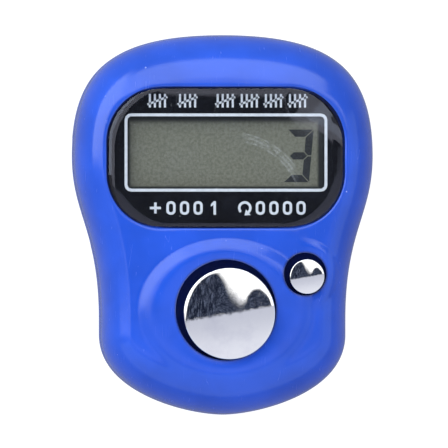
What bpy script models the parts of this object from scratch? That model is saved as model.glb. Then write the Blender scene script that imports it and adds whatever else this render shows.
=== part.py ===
"""Hand tally counter: a two-part plastic case with a display window and two sprung push buttons.

Units are metres. The counter lies on its back: +Z points out of its face, +Y points to the display
end, and the origin is on the surface it lies on, under its middle.
"""

import math

import bmesh
import bpy
from mathutils import Vector

MM = 0.001

# Case outline
HALF_LENGTH = 19.0 * MM
HALF_WIDTH = 15.05 * MM
HALF_WAIST = 12.31 * MM
WIDEST_Y = 6.9 * MM
WAIST_TOP_Y = -9.5 * MM
WAIST_BOTTOM_Y = -11.0 * MM

# Case heights and walls
PARTING_Z = 4.6 * MM
PARTING_GAP = 0.1 * MM
SHOULDER_Z = 6.0 * MM
FACE_Z = 12.0 * MM
SIDE_WALL = 1.3 * MM
FLAT_WALL = 1.2 * MM
BACK_EDGE_RADIUS = 1.5 * MM
LIP_INSET = 0.65 * MM
LIP_TOP_Z = 5.3 * MM

# Width over which the side rolls into the face
SIDE_SHOULDER = 3.0 * MM
DISPLAY_END_SHOULDER = 5.2 * MM
BUTTON_END_SHOULDER = 4.4 * MM

# Window and display
WINDOW_CENTRE = (0.0, 6.7 * MM)
WINDOW_SIZE = (23.7 * MM, 14.05 * MM)
WINDOW_CORNER = 5.5 * MM
WINDOW_SEAT_Z = 10.4 * MM
WINDOW_FIT = 0.1 * MM
LENS_Z = (10.62 * MM, 11.62 * MM)
PRINT_Z = (10.52 * MM, 10.6 * MM)
ADHESIVE_Z = (10.42 * MM, 10.5 * MM)
VIEW_CENTRE = (0.0, 7.23 * MM)
PRINT_OPENING = (19.7 * MM, 7.3 * MM)
SEAT_OPENING = (20.6 * MM, 8.1 * MM)
ADHESIVE_OPENING = (21.0 * MM, 8.5 * MM)
LEDGE_Z = 9.5 * MM
DISPLAY_X = 11.25 * MM
DISPLAY_Y = (1.55 * MM, 12.45 * MM)
DISPLAY_FIT = 0.1 * MM
CONTACT_EDGE_Y = 3.4 * MM
HOLDER_X = 12.2 * MM
HOLDER_Y = (0.5 * MM, 13.5 * MM)

# Circuit board
BOARD_Z = (5.2 * MM, 6.2 * MM)
BOARD_INSET = 2.0 * MM
TOUCH_GAP = 0.03 * MM

# Buttons
COUNT_CENTRE = (0.0, -8.45 * MM)
COUNT_HOLE_RADIUS = 5.02 * MM
COUNT_RADIUS = 4.72 * MM
COUNT_TOP_Z = 13.6 * MM
COUNT_FLANGE_RADIUS = 5.55 * MM
COUNT_PLAY = (0.15 * MM, -0.15 * MM)
RESET_CENTRE = (7.88 * MM, -4.88 * MM)
RESET_HOLE_RADIUS = 2.15 * MM
RESET_RADIUS = 1.85 * MM
RESET_TOP_Z = 12.95 * MM
RESET_FLANGE_RADIUS = 2.6 * MM
RESET_PLAY = (0.1 * MM, -0.12 * MM)
WELL_FIT = 0.35 * MM
FLANGE_Z = (10.05 * MM, 10.75 * MM)
STEM_BOTTOM_Z = 8.35 * MM
DOME_TOP_Z = 8.28 * MM
PILL_Z = (7.1 * MM, 7.5 * MM)

# Fixings
CASE_SCREWS = ((0.0, 15.4 * MM), (7.7 * MM, -12.8 * MM), (-7.7 * MM, -12.8 * MM))
BOARD_SCREWS = (
    (10.2 * MM, -0.3 * MM),
    (-10.2 * MM, -0.3 * MM),
    (6.5 * MM, 14.7 * MM),
    (-6.5 * MM, 14.7 * MM),
)
BOSS_MEET_Z = 6.0 * MM

# Strap channel across the back
CHANNEL_Y = (-2.2 * MM, 8.8 * MM)
CHANNEL_TOP_Z = 2.8 * MM
BAR_INNER_X = 11.0 * MM
BAR_TOP_Z = 1.2 * MM

# Button cell
CELL_CENTRE = (0.0, -9.4 * MM)
CELL_RADIUS = 5.8 * MM
CELL_Z = (1.35 * MM, 4.4 * MM)

# Facets
ROUND = 48
SMALL_ROUND = 24
SHOULDER_STEPS = 5

BLUE = (0.035, 0.105, 0.68)
BLACK = (0.012, 0.012, 0.014)
CHROME = (0.86, 0.86, 0.88)
STEEL = (0.6, 0.6, 0.62)
GOLD = (0.83, 0.62, 0.28)


# ---------------------------------------------------------------- meshes


def add_object(name, mesh, centre=(0.0, 0.0)):
    """Turns a bmesh into an object in the scene, smooth except at its real edges."""
    bmesh.ops.recalc_face_normals(mesh, faces=mesh.faces)
    data = bpy.data.meshes.new(name)
    mesh.to_mesh(data)
    mesh.free()
    data.shade_smooth()
    data.set_sharp_from_angle(angle=math.radians(35))
    piece = bpy.data.objects.new(name, data)
    piece.location = (*centre, 0.0)
    bpy.context.scene.collection.objects.link(piece)
    return piece


def finish(piece, colour, roughness, metallic=0.0):
    """Gives a piece its own material."""
    material = bpy.data.materials.new(piece.name + "_finish")
    material.use_nodes = True
    shader = material.node_tree.nodes["Principled BSDF"]
    shader.inputs["Base Color"].default_value = (*colour, 1.0)
    shader.inputs["Roughness"].default_value = roughness
    shader.inputs["Metallic"].default_value = metallic
    material.diffuse_color = (*colour, 1.0)
    piece.data.materials.append(material)
    return piece


def loft(name, rings, centre=(0.0, 0.0)):
    """A solid through level rings of equal count, closed at both ends."""
    mesh = bmesh.new()
    levels = [[mesh.verts.new(point) for point in ring] for ring in rings]
    count = len(levels[0])
    for lower, upper in zip(levels, levels[1:]):
        for k in range(count):
            after = (k + 1) % count
            mesh.faces.new((lower[k], lower[after], upper[after], upper[k]))
    mesh.faces.new(levels[0])
    mesh.faces.new(levels[-1])
    return add_object(name, mesh, centre)


def prism(name, outline, z_range, centre=(0.0, 0.0)):
    """A flat outline given a thickness."""
    return loft(name, [[(x, y, z) for x, y in outline] for z in z_range], centre)


def block(name, x_range, y_range, z_range):
    (x0, x1), (y0, y1) = x_range, y_range
    return prism(name, [(x0, y0), (x1, y0), (x1, y1), (x0, y1)], z_range)


def turned(name, profile, centre=(0.0, 0.0), facets=ROUND):
    """A round piece: a closed (radius, z) outline turned about the piece's own upright axis."""
    mesh = bmesh.new()
    rings = []
    for radius, z in profile:
        angles = [math.tau * k / facets for k in range(facets if radius > 0 else 1)]
        rings.append([mesh.verts.new((radius * math.cos(a), radius * math.sin(a), z)) for a in angles])
    for first, second in zip(rings, rings[1:] + rings[:1]):
        if len(first) == len(second) == 1:
            continue
        for k in range(facets):
            after = (k + 1) % facets
            corners = [
                first[k % len(first)],
                first[after % len(first)],
                second[after % len(second)],
                second[k % len(second)],
            ]
            mesh.faces.new(list(dict.fromkeys(corners)))
    return add_object(name, mesh, centre)


def disc(name, radius, z_range, centre, facets=SMALL_ROUND):
    low, high = z_range
    return turned(name, [(0.0, high), (radius, high), (radius, low), (0.0, low)], centre, facets)


def swept_strip(name, path, half_width, thickness):
    """A strip bent from sheet: (y, z) points along its underside, given a width in X and a thickness in Z."""
    side = [(y, z) for y, z in path] + [(y, z + thickness) for y, z in reversed(path)]
    mesh = bmesh.new()
    left, right = ([mesh.verts.new((x, y, z)) for y, z in side] for x in (-half_width, half_width))
    for k in range(len(side)):
        after = (k + 1) % len(side)
        mesh.faces.new((left[k], left[after], right[after], right[k]))
    mesh.faces.new(left)
    mesh.faces.new(right)
    return add_object(name, mesh)


def combine(target, operation, helpers):
    """Applies a Boolean to a piece with all its helpers at once. The helpers stay hidden."""
    group = bpy.data.collections.new(f"{target.name}_{operation.lower()}")
    bpy.context.scene.collection.children.link(group)
    for helper in helpers:
        helper.hide_render = True
        helper.display_type = "WIRE"
        bpy.context.scene.collection.objects.unlink(helper)
        group.objects.link(helper)
    modifier = target.modifiers.new(operation.title(), "BOOLEAN")
    modifier.operation = operation
    modifier.operand_type = "COLLECTION"
    modifier.collection = group
    return target


# ---------------------------------------------------------------- outlines


def bezier(handles, t):
    """The point at t on a Bezier curve of any degree, and the direction there."""
    points = [Vector(handle) for handle in handles]
    while len(points) > 2:
        points = [a.lerp(b, t) for a, b in zip(points, points[1:])]
    start, end = points
    return start.lerp(end, t), (end - start).normalized()


def outline_stations():
    """Points round the case with their outward normals, clockwise from the display end."""
    curves = (
        (
            [
                (0.0, HALF_LENGTH),
                (9.1 * MM, HALF_LENGTH),
                (13.2 * MM, 16.9 * MM),
                (HALF_WIDTH, 13.1 * MM),
                (HALF_WIDTH, WIDEST_Y),
            ],
            13,
        ),
        (
            [
                (HALF_WIDTH, WIDEST_Y),
                (HALF_WIDTH, 1.0 * MM),
                (HALF_WAIST, -0.5 * MM),
                (HALF_WAIST, WAIST_TOP_Y),
            ],
            7,
        ),
        ([(HALF_WAIST, WAIST_TOP_Y), (HALF_WAIST, WAIST_BOTTOM_Y)], 1),
        (
            [
                (HALF_WAIST, WAIST_BOTTOM_Y),
                (HALF_WAIST, -17.0 * MM),
                (3.25 * MM, -HALF_LENGTH),
                (0.0, -HALF_LENGTH),
            ],
            13,
        ),
    )
    right = [bezier(handles, k / steps) for handles, steps in curves for k in range(steps)]
    right.append(bezier(curves[-1][0], 1.0))
    right = [(point, Vector((-along.y, along.x))) for point, along in right]
    flip = Vector((-1.0, 1.0))
    left = [(point * flip, normal * flip) for point, normal in reversed(right[1:-1])]
    return right + left


STATIONS = outline_stations()


def shoulder_width(normal):
    """How far in the side takes to become the face, wider at the two ends than along the sides."""
    end = DISPLAY_END_SHOULDER if normal.y > 0 else BUTTON_END_SHOULDER
    return SIDE_SHOULDER + (end - SIDE_SHOULDER) * normal.y**2


def case_ring(inset, z, roll=0.0):
    """The case outline at height z, moved in by an inset and by a share of the shoulder's width."""
    return [
        (*(point - normal * (inset + roll * shoulder_width(normal))), z) for point, normal in STATIONS
    ]


def shoulder_rings(inset, top_z):
    """Rings up a quarter of an ellipse, from the upright side to the flat face."""
    rings = []
    for step in range(SHOULDER_STEPS + 1):
        angle = math.radians(90) * step / SHOULDER_STEPS
        height = SHOULDER_Z + (top_z - SHOULDER_Z) * math.sin(angle)
        rings.append(case_ring(inset, height, 1.0 - math.cos(angle)))
    return rings


def rounded_rectangle(size, radius, centre, steps=6):
    """Anticlockwise corner points of a rectangle with rounded corners."""
    half_x, half_y = (side / 2 - radius for side in size)
    points = []
    for quarter in range(4):
        sign_x = 1 if quarter in (0, 3) else -1
        sign_y = 1 if quarter in (0, 1) else -1
        for step in range(steps + 1):
            angle = math.radians(90) * (quarter + step / steps)
            points.append(
                (
                    centre[0] + sign_x * half_x + radius * math.cos(angle),
                    centre[1] + sign_y * half_y + radius * math.sin(angle),
                )
            )
    return points


def shrunk(size, by):
    return tuple(side - 2 * by for side in size)


def ellipse_ring(radius_x, radius_y, z):
    angles = [math.tau * k / ROUND for k in range(ROUND)]
    return [(radius_x * math.cos(a), radius_y * math.sin(a), z) for a in angles]


# ---------------------------------------------------------------- case


def front_case():
    draft = 0.1 * MM
    edge = 0.12 * MM
    bottom = PARTING_Z + PARTING_GAP / 2
    shell = loft(
        "front_case",
        [case_ring(edge, bottom), case_ring(0.0, bottom + 2 * edge)] + shoulder_rings(draft, FACE_Z),
    )
    count_pad = loft(
        "count_pad",
        [
            ellipse_ring(8.75 * MM, 7.05 * MM, 11.3 * MM),
            ellipse_ring(8.75 * MM, 7.05 * MM, 11.95 * MM),
            ellipse_ring(8.15 * MM, 6.65 * MM, 12.5 * MM),
            ellipse_ring(7.55 * MM, 6.3 * MM, 12.7 * MM),
            ellipse_ring(6.85 * MM, 6.05 * MM, 12.62 * MM),
            ellipse_ring(5.75 * MM, 5.75 * MM, 12.4 * MM),
            ellipse_ring(5.35 * MM, 5.35 * MM, 12.25 * MM),
        ],
        COUNT_CENTRE,
    )
    reset_pad = turned(
        "reset_pad",
        [
            (0.0, 12.2 * MM),
            (2.35 * MM, 12.2 * MM),
            (2.85 * MM, 12.35 * MM),
            (3.2 * MM, 12.1 * MM),
            (3.4 * MM, 11.6 * MM),
            (3.4 * MM, 10.0 * MM),
            (0.0, 10.0 * MM),
        ],
        RESET_CENTRE,
        SMALL_ROUND,
    )
    combine(shell, "UNION", [count_pad, reset_pad])

    lip_room = LIP_INSET - 0.05 * MM
    lip_clear_z = LIP_TOP_Z + 0.15 * MM
    hollow = loft(
        "front_hollow",
        [case_ring(lip_room, PARTING_Z - 1.0 * MM), case_ring(lip_room, lip_clear_z)]
        + [case_ring(SIDE_WALL, lip_clear_z)]
        + shoulder_rings(SIDE_WALL + draft, FACE_Z - FLAT_WALL),
    )
    seat = prism(
        "window_seat",
        rounded_rectangle(shrunk(WINDOW_SIZE, -1.0 * MM), 6.5 * MM, WINDOW_CENTRE),
        (LEDGE_Z - 0.2 * MM, FACE_Z),
    )
    holder = block("display_holder", (-HOLDER_X, HOLDER_X), HOLDER_Y, (BOARD_Z[1] + 0.2 * MM, FACE_Z))
    posts = [
        disc(f"board_post_{k}", 1.35 * MM, (BOARD_Z[1] + TOUCH_GAP, FACE_Z), at)
        for k, at in enumerate(BOARD_SCREWS)
    ]
    bosses = [
        disc(f"front_boss_{k}", 1.7 * MM, (BOSS_MEET_Z + 0.05 * MM, FACE_Z), at)
        for k, at in enumerate(CASE_SCREWS)
    ]
    combine(hollow, "DIFFERENCE", [seat, holder, *posts, *bosses])

    well_z = (SHOULDER_Z + 0.5 * MM, FLANGE_Z[1] + 0.07 * MM)
    above_z = COUNT_TOP_Z + 1.0 * MM
    cuts = [
        hollow,
        prism(
            "window_pocket",
            rounded_rectangle(WINDOW_SIZE, WINDOW_CORNER, WINDOW_CENTRE),
            (WINDOW_SEAT_Z, above_z),
        ),
        prism(
            "view_opening",
            rounded_rectangle(SEAT_OPENING, 0.6 * MM, VIEW_CENTRE, 3),
            (LEDGE_Z - 1.0 * MM, WINDOW_SEAT_Z + 0.5 * MM),
        ),
        block(
            "display_pocket",
            (-DISPLAY_X - DISPLAY_FIT, DISPLAY_X + DISPLAY_FIT),
            (DISPLAY_Y[0] - DISPLAY_FIT, DISPLAY_Y[1] + DISPLAY_FIT),
            (PARTING_Z, LEDGE_Z),
        ),
        disc("count_hole", COUNT_HOLE_RADIUS, (SHOULDER_Z + 1.0 * MM, above_z), COUNT_CENTRE, ROUND),
        disc("reset_hole", RESET_HOLE_RADIUS, (SHOULDER_Z + 1.0 * MM, above_z), RESET_CENTRE),
        disc("count_well", COUNT_FLANGE_RADIUS + WELL_FIT, well_z, COUNT_CENTRE, ROUND),
        disc("reset_well", RESET_FLANGE_RADIUS + WELL_FIT, well_z, RESET_CENTRE),
    ]
    cuts += [
        disc(f"board_pilot_{k}", 0.55 * MM, (PARTING_Z, 8.8 * MM), at, 16)
        for k, at in enumerate(BOARD_SCREWS)
    ]
    cuts += [
        disc(f"case_pilot_{k}", 0.75 * MM, (PARTING_Z, 9.9 * MM), at, 16)
        for k, at in enumerate(CASE_SCREWS)
    ]
    combine(shell, "DIFFERENCE", cuts)
    return finish(shell, BLUE, 0.32)


def back_case():
    rings = []
    for step in range(4):
        angle = math.radians(90) * step / 3
        inset = BACK_EDGE_RADIUS * (1.0 - math.sin(angle))
        rings.append(case_ring(inset, BACK_EDGE_RADIUS * (1.0 - math.cos(angle))))
    top = PARTING_Z - PARTING_GAP / 2
    edge = 0.12 * MM
    shell = loft(
        "back_case",
        rings
        + [case_ring(0.0, top - 2 * edge), case_ring(edge, top)]
        + [case_ring(LIP_INSET, top), case_ring(LIP_INSET, LIP_TOP_Z)],
    )

    hollow = loft(
        "back_hollow",
        [
            case_ring(SIDE_WALL + 1.2 * MM, FLAT_WALL),
            case_ring(SIDE_WALL + 0.4 * MM, FLAT_WALL + 0.3 * MM),
            case_ring(SIDE_WALL, FLAT_WALL + 1.0 * MM),
            case_ring(SIDE_WALL, LIP_TOP_Z + 1.5 * MM),
        ],
    )
    channel_wall = 1.0 * MM
    tunnel = block(
        "channel_wall",
        (-HALF_WIDTH, HALF_WIDTH),
        (CHANNEL_Y[0] - channel_wall, CHANNEL_Y[1] + channel_wall),
        (0.0, CHANNEL_TOP_Z + channel_wall),
    )
    bosses = [
        disc(f"back_boss_{k}", 1.9 * MM, (0.0, BOSS_MEET_Z), at) for k, at in enumerate(CASE_SCREWS)
    ]
    rib_inner = CELL_RADIUS + 0.15 * MM
    rib = turned(
        "cell_rib",
        [
            (rib_inner, 3.9 * MM),
            (rib_inner + 0.8 * MM, 3.9 * MM),
            (rib_inner + 0.8 * MM, 0.5 * MM),
            (rib_inner, 0.5 * MM),
        ],
        CELL_CENTRE,
    )
    rib_notch = block("rib_notch", (-1.7 * MM, 1.7 * MM), (-17.0 * MM, -14.5 * MM), (FLAT_WALL, 5.0 * MM))
    combine(rib, "DIFFERENCE", [rib_notch])
    combine(hollow, "DIFFERENCE", [tunnel, rib, *bosses])

    below = -1.0 * MM
    beyond = HALF_WIDTH + 2.0 * MM
    cuts = [
        hollow,
        block("channel", (-BAR_INNER_X, BAR_INNER_X), CHANNEL_Y, (below, CHANNEL_TOP_Z)),
        block("strap_slot", (-beyond, beyond), CHANNEL_Y, (BAR_TOP_Z, CHANNEL_TOP_Z)),
    ]
    for k, at in enumerate(CASE_SCREWS):
        cuts.append(disc(f"counterbore_{k}", 1.65 * MM, (below, 1.7 * MM), at))
        cuts.append(disc(f"clearance_{k}", 0.85 * MM, (below, BOSS_MEET_Z + 1.0 * MM), at, 16))
    combine(shell, "DIFFERENCE", cuts)
    return finish(shell, BLUE, 0.36)


def screw(name, centre, head_radius, head_z, shank_radius, shank_top_z):
    """A self-tapping screw, head down, with a slightly domed head and a pointed end."""
    low, high = head_z
    return finish(
        turned(
            name,
            [
                (0.0, low),
                (0.6 * head_radius, low + 0.06 * MM),
                (head_radius, low + 0.35 * MM),
                (head_radius, high),
                (shank_radius, high),
                (shank_radius, shank_top_z - 0.6 * MM),
                (0.3 * shank_radius, shank_top_z),
                (0.0, shank_top_z),
            ],
            centre,
            20,
        ),
        STEEL,
        0.3,
        1.0,
    )


def screws():
    for k, at in enumerate(CASE_SCREWS):
        screw(f"case_screw_{k + 1}", at, 1.45 * MM, (0.6 * MM, 1.65 * MM), 0.7 * MM, 9.7 * MM)
    for k, at in enumerate(BOARD_SCREWS):
        head_top = BOARD_Z[0] - TOUCH_GAP
        screw(f"board_screw_{k + 1}", at, 1.1 * MM, (head_top - 0.75 * MM, head_top), 0.5 * MM, 8.6 * MM)


# ---------------------------------------------------------------- window and display


def sheet_with_opening(name, size, corner, opening, opening_corner, z_range):
    piece = prism(name, rounded_rectangle(size, corner, WINDOW_CENTRE), z_range)
    low, high = z_range
    hole = prism(
        name + "_opening",
        rounded_rectangle(opening, opening_corner, VIEW_CENTRE, 3),
        (low - 1.0 * MM, high + 1.0 * MM),
    )
    return combine(piece, "DIFFERENCE", [hole])


def window():
    lens_size = shrunk(WINDOW_SIZE, WINDOW_FIT)
    corner = WINDOW_CORNER - WINDOW_FIT
    bevel = 0.25 * MM
    low, high = LENS_Z
    upper = rounded_rectangle(shrunk(lens_size, bevel), corner - bevel, WINDOW_CENTRE)
    lower = rounded_rectangle(lens_size, corner, WINDOW_CENTRE)
    rings = [
        [(x, y, low) for x, y in lower],
        [(x, y, high - 0.5 * bevel) for x, y in lower],
        [(x, y, high) for x, y in upper],
    ]
    finish(loft("window_lens", rings), (0.8, 0.82, 0.82), 0.05)
    printed = sheet_with_opening(
        "window_print", shrunk(lens_size, 0.05 * MM), corner, PRINT_OPENING, 0.35 * MM, PRINT_Z
    )
    finish(printed, BLACK, 0.4)
    adhesive = sheet_with_opening(
        "lens_adhesive", shrunk(lens_size, 0.1 * MM), corner, ADHESIVE_OPENING, 0.6 * MM, ADHESIVE_Z
    )
    finish(adhesive, (0.6, 0.58, 0.5), 0.6)


def display():
    """The display's layers from the window down, and the rubber strip that joins it to the board."""
    full_y = DISPLAY_Y
    film_x = DISPLAY_X - 0.35 * MM
    film_y = (CONTACT_EDGE_Y + 0.2 * MM, DISPLAY_Y[1] - 0.25 * MM)
    rear_y = (CONTACT_EDGE_Y, DISPLAY_Y[1])
    layers = (
        ("lcd_front_polariser", film_x, film_y, (9.3 * MM, 9.45 * MM), (0.3, 0.32, 0.25), 0.3),
        ("lcd_front_glass", DISPLAY_X, full_y, (8.57 * MM, 9.28 * MM), (0.5, 0.55, 0.45), 0.1),
        ("lcd_rear_glass", DISPLAY_X, rear_y, (7.87 * MM, 8.55 * MM), (0.5, 0.55, 0.45), 0.1),
        ("lcd_reflector", film_x, film_y, (7.6 * MM, 7.85 * MM), (0.4, 0.42, 0.36), 0.5),
    )
    for name, half_x, y_range, z_range, colour, roughness in layers:
        finish(block(name, (-half_x, half_x), y_range, z_range), colour, roughness)
    strip_y = (DISPLAY_Y[0] + 0.15 * MM, CONTACT_EDGE_Y - 0.3 * MM)
    strip_z = (BOARD_Z[1] + TOUCH_GAP, 8.57 * MM - TOUCH_GAP)
    strip_x = DISPLAY_X - 0.8 * MM
    finish(block("zebra_connector", (-strip_x, strip_x), strip_y, strip_z), (0.05, 0.05, 0.05), 0.7)


# ---------------------------------------------------------------- board and cell


def circuit_board():
    board = loft("circuit_board", [case_ring(BOARD_INSET, z) for z in BOARD_Z])
    through = (BOARD_Z[0] - 1.0 * MM, BOARD_Z[1] + 1.0 * MM)
    cuts = [disc(f"board_hole_{k}", 0.6 * MM, through, at, 16) for k, at in enumerate(BOARD_SCREWS)]
    cuts += [disc(f"boss_notch_{k}", 2.15 * MM, through, at) for k, at in enumerate(CASE_SCREWS)]
    combine(board, "DIFFERENCE", cuts)
    finish(board, (0.02, 0.14, 0.05), 0.35)

    top = BOARD_Z[1] + TOUCH_GAP
    chip = turned(
        "chip_blob",
        [
            (0.0, top + 1.05 * MM),
            (1.2 * MM, top + 0.95 * MM),
            (2.1 * MM, top + 0.6 * MM),
            (2.6 * MM, top + 0.1 * MM),
            (2.6 * MM, top),
            (0.0, top),
        ],
        (-3.0 * MM, 8.0 * MM),
        SMALL_ROUND,
    )
    finish(chip, BLACK, 0.25)
    capacitor = block(
        "smd_capacitor", (5.2 * MM, 6.8 * MM), (8.6 * MM, 9.4 * MM), (top, top + 0.75 * MM)
    )
    finish(capacitor, (0.42, 0.3, 0.18), 0.5)
    resistor = block("smd_resistor", (5.2 * MM, 6.8 * MM), (6.4 * MM, 7.2 * MM), (top, top + 0.45 * MM))
    finish(resistor, BLACK, 0.4)
    pad_z = (BOARD_Z[1] + 0.02 * MM, BOARD_Z[1] + 0.07 * MM)
    finish(disc("count_contact_pad", 1.7 * MM, pad_z, COUNT_CENTRE), GOLD, 0.3, 1.0)
    finish(disc("reset_contact_pad", 1.0 * MM, pad_z, RESET_CENTRE, 16), GOLD, 0.3, 1.0)


def button_cell():
    low, high = CELL_Z
    sheet = 0.25 * MM
    inner = CELL_RADIUS - sheet
    can = turned(
        "button_cell_can",
        [
            (0.0, low),
            (CELL_RADIUS - 0.3 * MM, low),
            (CELL_RADIUS, low + 0.3 * MM),
            (CELL_RADIUS, high - 0.4 * MM),
            (CELL_RADIUS - 0.15 * MM, high - 0.25 * MM),
            (CELL_RADIUS - 0.6 * MM, high - 0.25 * MM),
            (CELL_RADIUS - 0.6 * MM, high - 0.5 * MM),
            (inner, high - 0.55 * MM),
            (inner, low + sheet),
            (0.0, low + sheet),
        ],
        CELL_CENTRE,
    )
    finish(can, STEEL, 0.25, 1.0)
    ring_inner = CELL_RADIUS - 1.0 * MM
    ring = turned(
        "button_cell_gasket",
        [
            (ring_inner, high - 0.2 * MM),
            (ring_inner + 0.33 * MM, high - 0.2 * MM),
            (ring_inner + 0.33 * MM, low + 0.6 * MM),
            (ring_inner, low + 0.6 * MM),
        ],
        CELL_CENTRE,
        32,
    )
    finish(ring, (0.75, 0.78, 0.8), 0.5)
    cap_radius = ring_inner - 0.05 * MM
    step_radius = cap_radius - 0.35 * MM
    cap = turned(
        "button_cell_cap",
        [
            (0.0, high),
            (step_radius - 0.3 * MM, high),
            (step_radius, high - 0.2 * MM),
            (step_radius, high - 0.9 * MM),
            (cap_radius, high - 1.0 * MM),
            (cap_radius, low + 0.8 * MM),
            (cap_radius - sheet, low + 0.8 * MM),
            (cap_radius - sheet, high - 1.2 * MM),
            (step_radius - sheet, high - 1.1 * MM),
            (step_radius - sheet, high - sheet),
            (0.0, high - sheet),
        ],
        CELL_CENTRE,
        32,
    )
    finish(cap, STEEL, 0.3, 1.0)


def cell_contacts():
    """Two strips of sprung sheet under the board, one on the cell's cap and one on its side."""
    sheet = 0.15 * MM
    solder_z = BOARD_Z[0] - TOUCH_GAP - sheet
    cap_z = CELL_Z[1] + 0.02 * MM
    centre_y = CELL_CENTRE[1]
    negative = swept_strip(
        "battery_contact_negative",
        [
            (centre_y + 5.6 * MM, solder_z),
            (centre_y + 4.2 * MM, solder_z),
            (centre_y + 0.4 * MM, cap_z),
            (centre_y - 0.4 * MM, cap_z),
            (centre_y - 1.4 * MM, cap_z + 0.25 * MM),
        ],
        1.0 * MM,
        sheet,
    )
    finish(negative, GOLD, 0.3, 1.0)

    side_y = centre_y - CELL_RADIUS - 0.06 * MM
    half_width = 1.1 * MM
    blade = block(
        "battery_contact_positive",
        (-half_width, half_width),
        (side_y - sheet, side_y),
        (CELL_Z[0] + 0.4 * MM, solder_z + sheet),
    )
    tab_z = (solder_z, solder_z + sheet)
    tab = block("contact_tab", (-half_width, half_width), (side_y - 1.2 * MM, side_y), tab_z)
    tab.location.z = -0.01 * MM
    combine(blade, "UNION", [tab])
    finish(blade, GOLD, 0.3, 1.0)


# ---------------------------------------------------------------- buttons


def button(name, centre, radius, top_z, flange_radius, stem_radius, hollow, facets):
    """A crowned cap on a flange that the case holds in, with a stem that reaches the dome."""
    flange_low, flange_high = FLANGE_Z
    edge = 0.3 * MM
    side_z = top_z - 0.08 * radius - edge
    profile = [
        (0.0, top_z),
        (0.5 * radius, top_z - 0.02 * radius),
        (radius - edge, top_z - 0.08 * radius),
        (radius - 0.3 * edge, side_z + 0.7 * edge),
        (radius, side_z),
        (radius, flange_high),
        (flange_radius, flange_high),
        (flange_radius, flange_low),
    ]
    if hollow:
        wall_radius = radius - 0.8 * MM
        roof_z = side_z - 0.9 * MM
        profile += [(wall_radius, flange_low), (wall_radius, roof_z), (stem_radius, roof_z)]
    else:
        profile += [(stem_radius, flange_low)]
    profile += [(stem_radius, STEM_BOTTOM_Z), (0.0, STEM_BOTTOM_Z)]
    return finish(turned(name, profile, centre, facets), CHROME, 0.06, 1.0)


def dome(name, centre, base_radius, top_radius, facets):
    """A silicone dome: a foot on the board, a thin sloping skirt and a thick top, open underneath."""
    foot_z = BOARD_Z[1] + TOUCH_GAP
    skirt = 0.45 * MM
    ceiling_z = PILL_Z[1] + 0.05 * MM
    profile = [
        (0.0, DOME_TOP_Z),
        (top_radius, DOME_TOP_Z),
        (top_radius + 0.25 * MM, DOME_TOP_Z - 0.3 * MM),
        (base_radius - 0.8 * MM, foot_z + 0.55 * MM),
        (base_radius, foot_z + 0.5 * MM),
        (base_radius, foot_z),
        (base_radius - 0.8 * MM - skirt, foot_z),
        (top_radius, ceiling_z),
        (0.0, ceiling_z),
    ]
    return finish(turned(name, profile, centre, facets), (0.7, 0.72, 0.7), 0.6)


def off_centre(centre, play):
    """Where a cap lies that is loose in its hole."""
    return tuple(at + by for at, by in zip(centre, play))


def keys():
    """Each button slides on its own upright axis and takes its carbon pill down to the board."""
    count_button = button(
        "count_button",
        off_centre(COUNT_CENTRE, COUNT_PLAY),
        COUNT_RADIUS,
        COUNT_TOP_Z,
        COUNT_FLANGE_RADIUS,
        2.2 * MM,
        True,
        ROUND,
    )
    count_pill = disc("count_carbon_pill", 1.5 * MM, PILL_Z, (0.0, 0.0))
    reset_button = button(
        "reset_button",
        off_centre(RESET_CENTRE, RESET_PLAY),
        RESET_RADIUS,
        RESET_TOP_Z,
        RESET_FLANGE_RADIUS,
        1.1 * MM,
        False,
        32,
    )
    reset_pill = disc("reset_carbon_pill", 0.8 * MM, PILL_Z, (0.0, 0.0), 16)
    for key, pill in ((count_button, count_pill), (reset_button, reset_pill)):
        pill.parent = key
        finish(pill, BLACK, 0.8)
    dome("count_dome", COUNT_CENTRE, 4.3 * MM, 2.4 * MM, 32)
    dome("reset_dome", RESET_CENTRE, 2.35 * MM, 1.0 * MM, SMALL_ROUND)


def main():
    for old in list(bpy.data.objects):
        bpy.data.objects.remove(old, do_unlink=True)
    front_case()
    back_case()
    screws()
    window()
    display()
    circuit_board()
    button_cell()
    cell_contacts()
    keys()


main()
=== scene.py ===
"""Looks of the hand tally counter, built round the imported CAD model.

The mesh code works in millimetres in the model's own frame: +Z out of the face, +Y to the display end.
"""

import math

import bmesh
import bpy
import numpy as np
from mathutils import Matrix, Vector
from mathutils.geometry import delaunay_2d_cdt
from mathutils.kdtree import KDTree


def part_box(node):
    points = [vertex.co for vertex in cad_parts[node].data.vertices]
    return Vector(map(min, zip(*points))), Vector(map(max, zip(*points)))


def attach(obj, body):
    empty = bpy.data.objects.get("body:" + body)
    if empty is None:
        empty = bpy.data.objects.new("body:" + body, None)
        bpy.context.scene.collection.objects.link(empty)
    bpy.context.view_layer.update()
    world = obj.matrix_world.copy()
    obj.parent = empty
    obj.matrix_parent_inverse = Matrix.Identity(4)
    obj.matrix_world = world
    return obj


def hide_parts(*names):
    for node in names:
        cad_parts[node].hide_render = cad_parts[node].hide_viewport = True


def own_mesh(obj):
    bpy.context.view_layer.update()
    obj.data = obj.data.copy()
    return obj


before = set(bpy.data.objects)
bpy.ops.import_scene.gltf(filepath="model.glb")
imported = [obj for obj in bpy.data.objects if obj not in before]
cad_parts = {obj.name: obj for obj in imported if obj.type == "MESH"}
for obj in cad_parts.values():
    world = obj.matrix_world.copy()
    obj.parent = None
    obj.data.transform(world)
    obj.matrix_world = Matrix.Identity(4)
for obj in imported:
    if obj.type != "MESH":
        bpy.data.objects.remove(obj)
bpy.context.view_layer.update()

MM = 0.001

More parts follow.
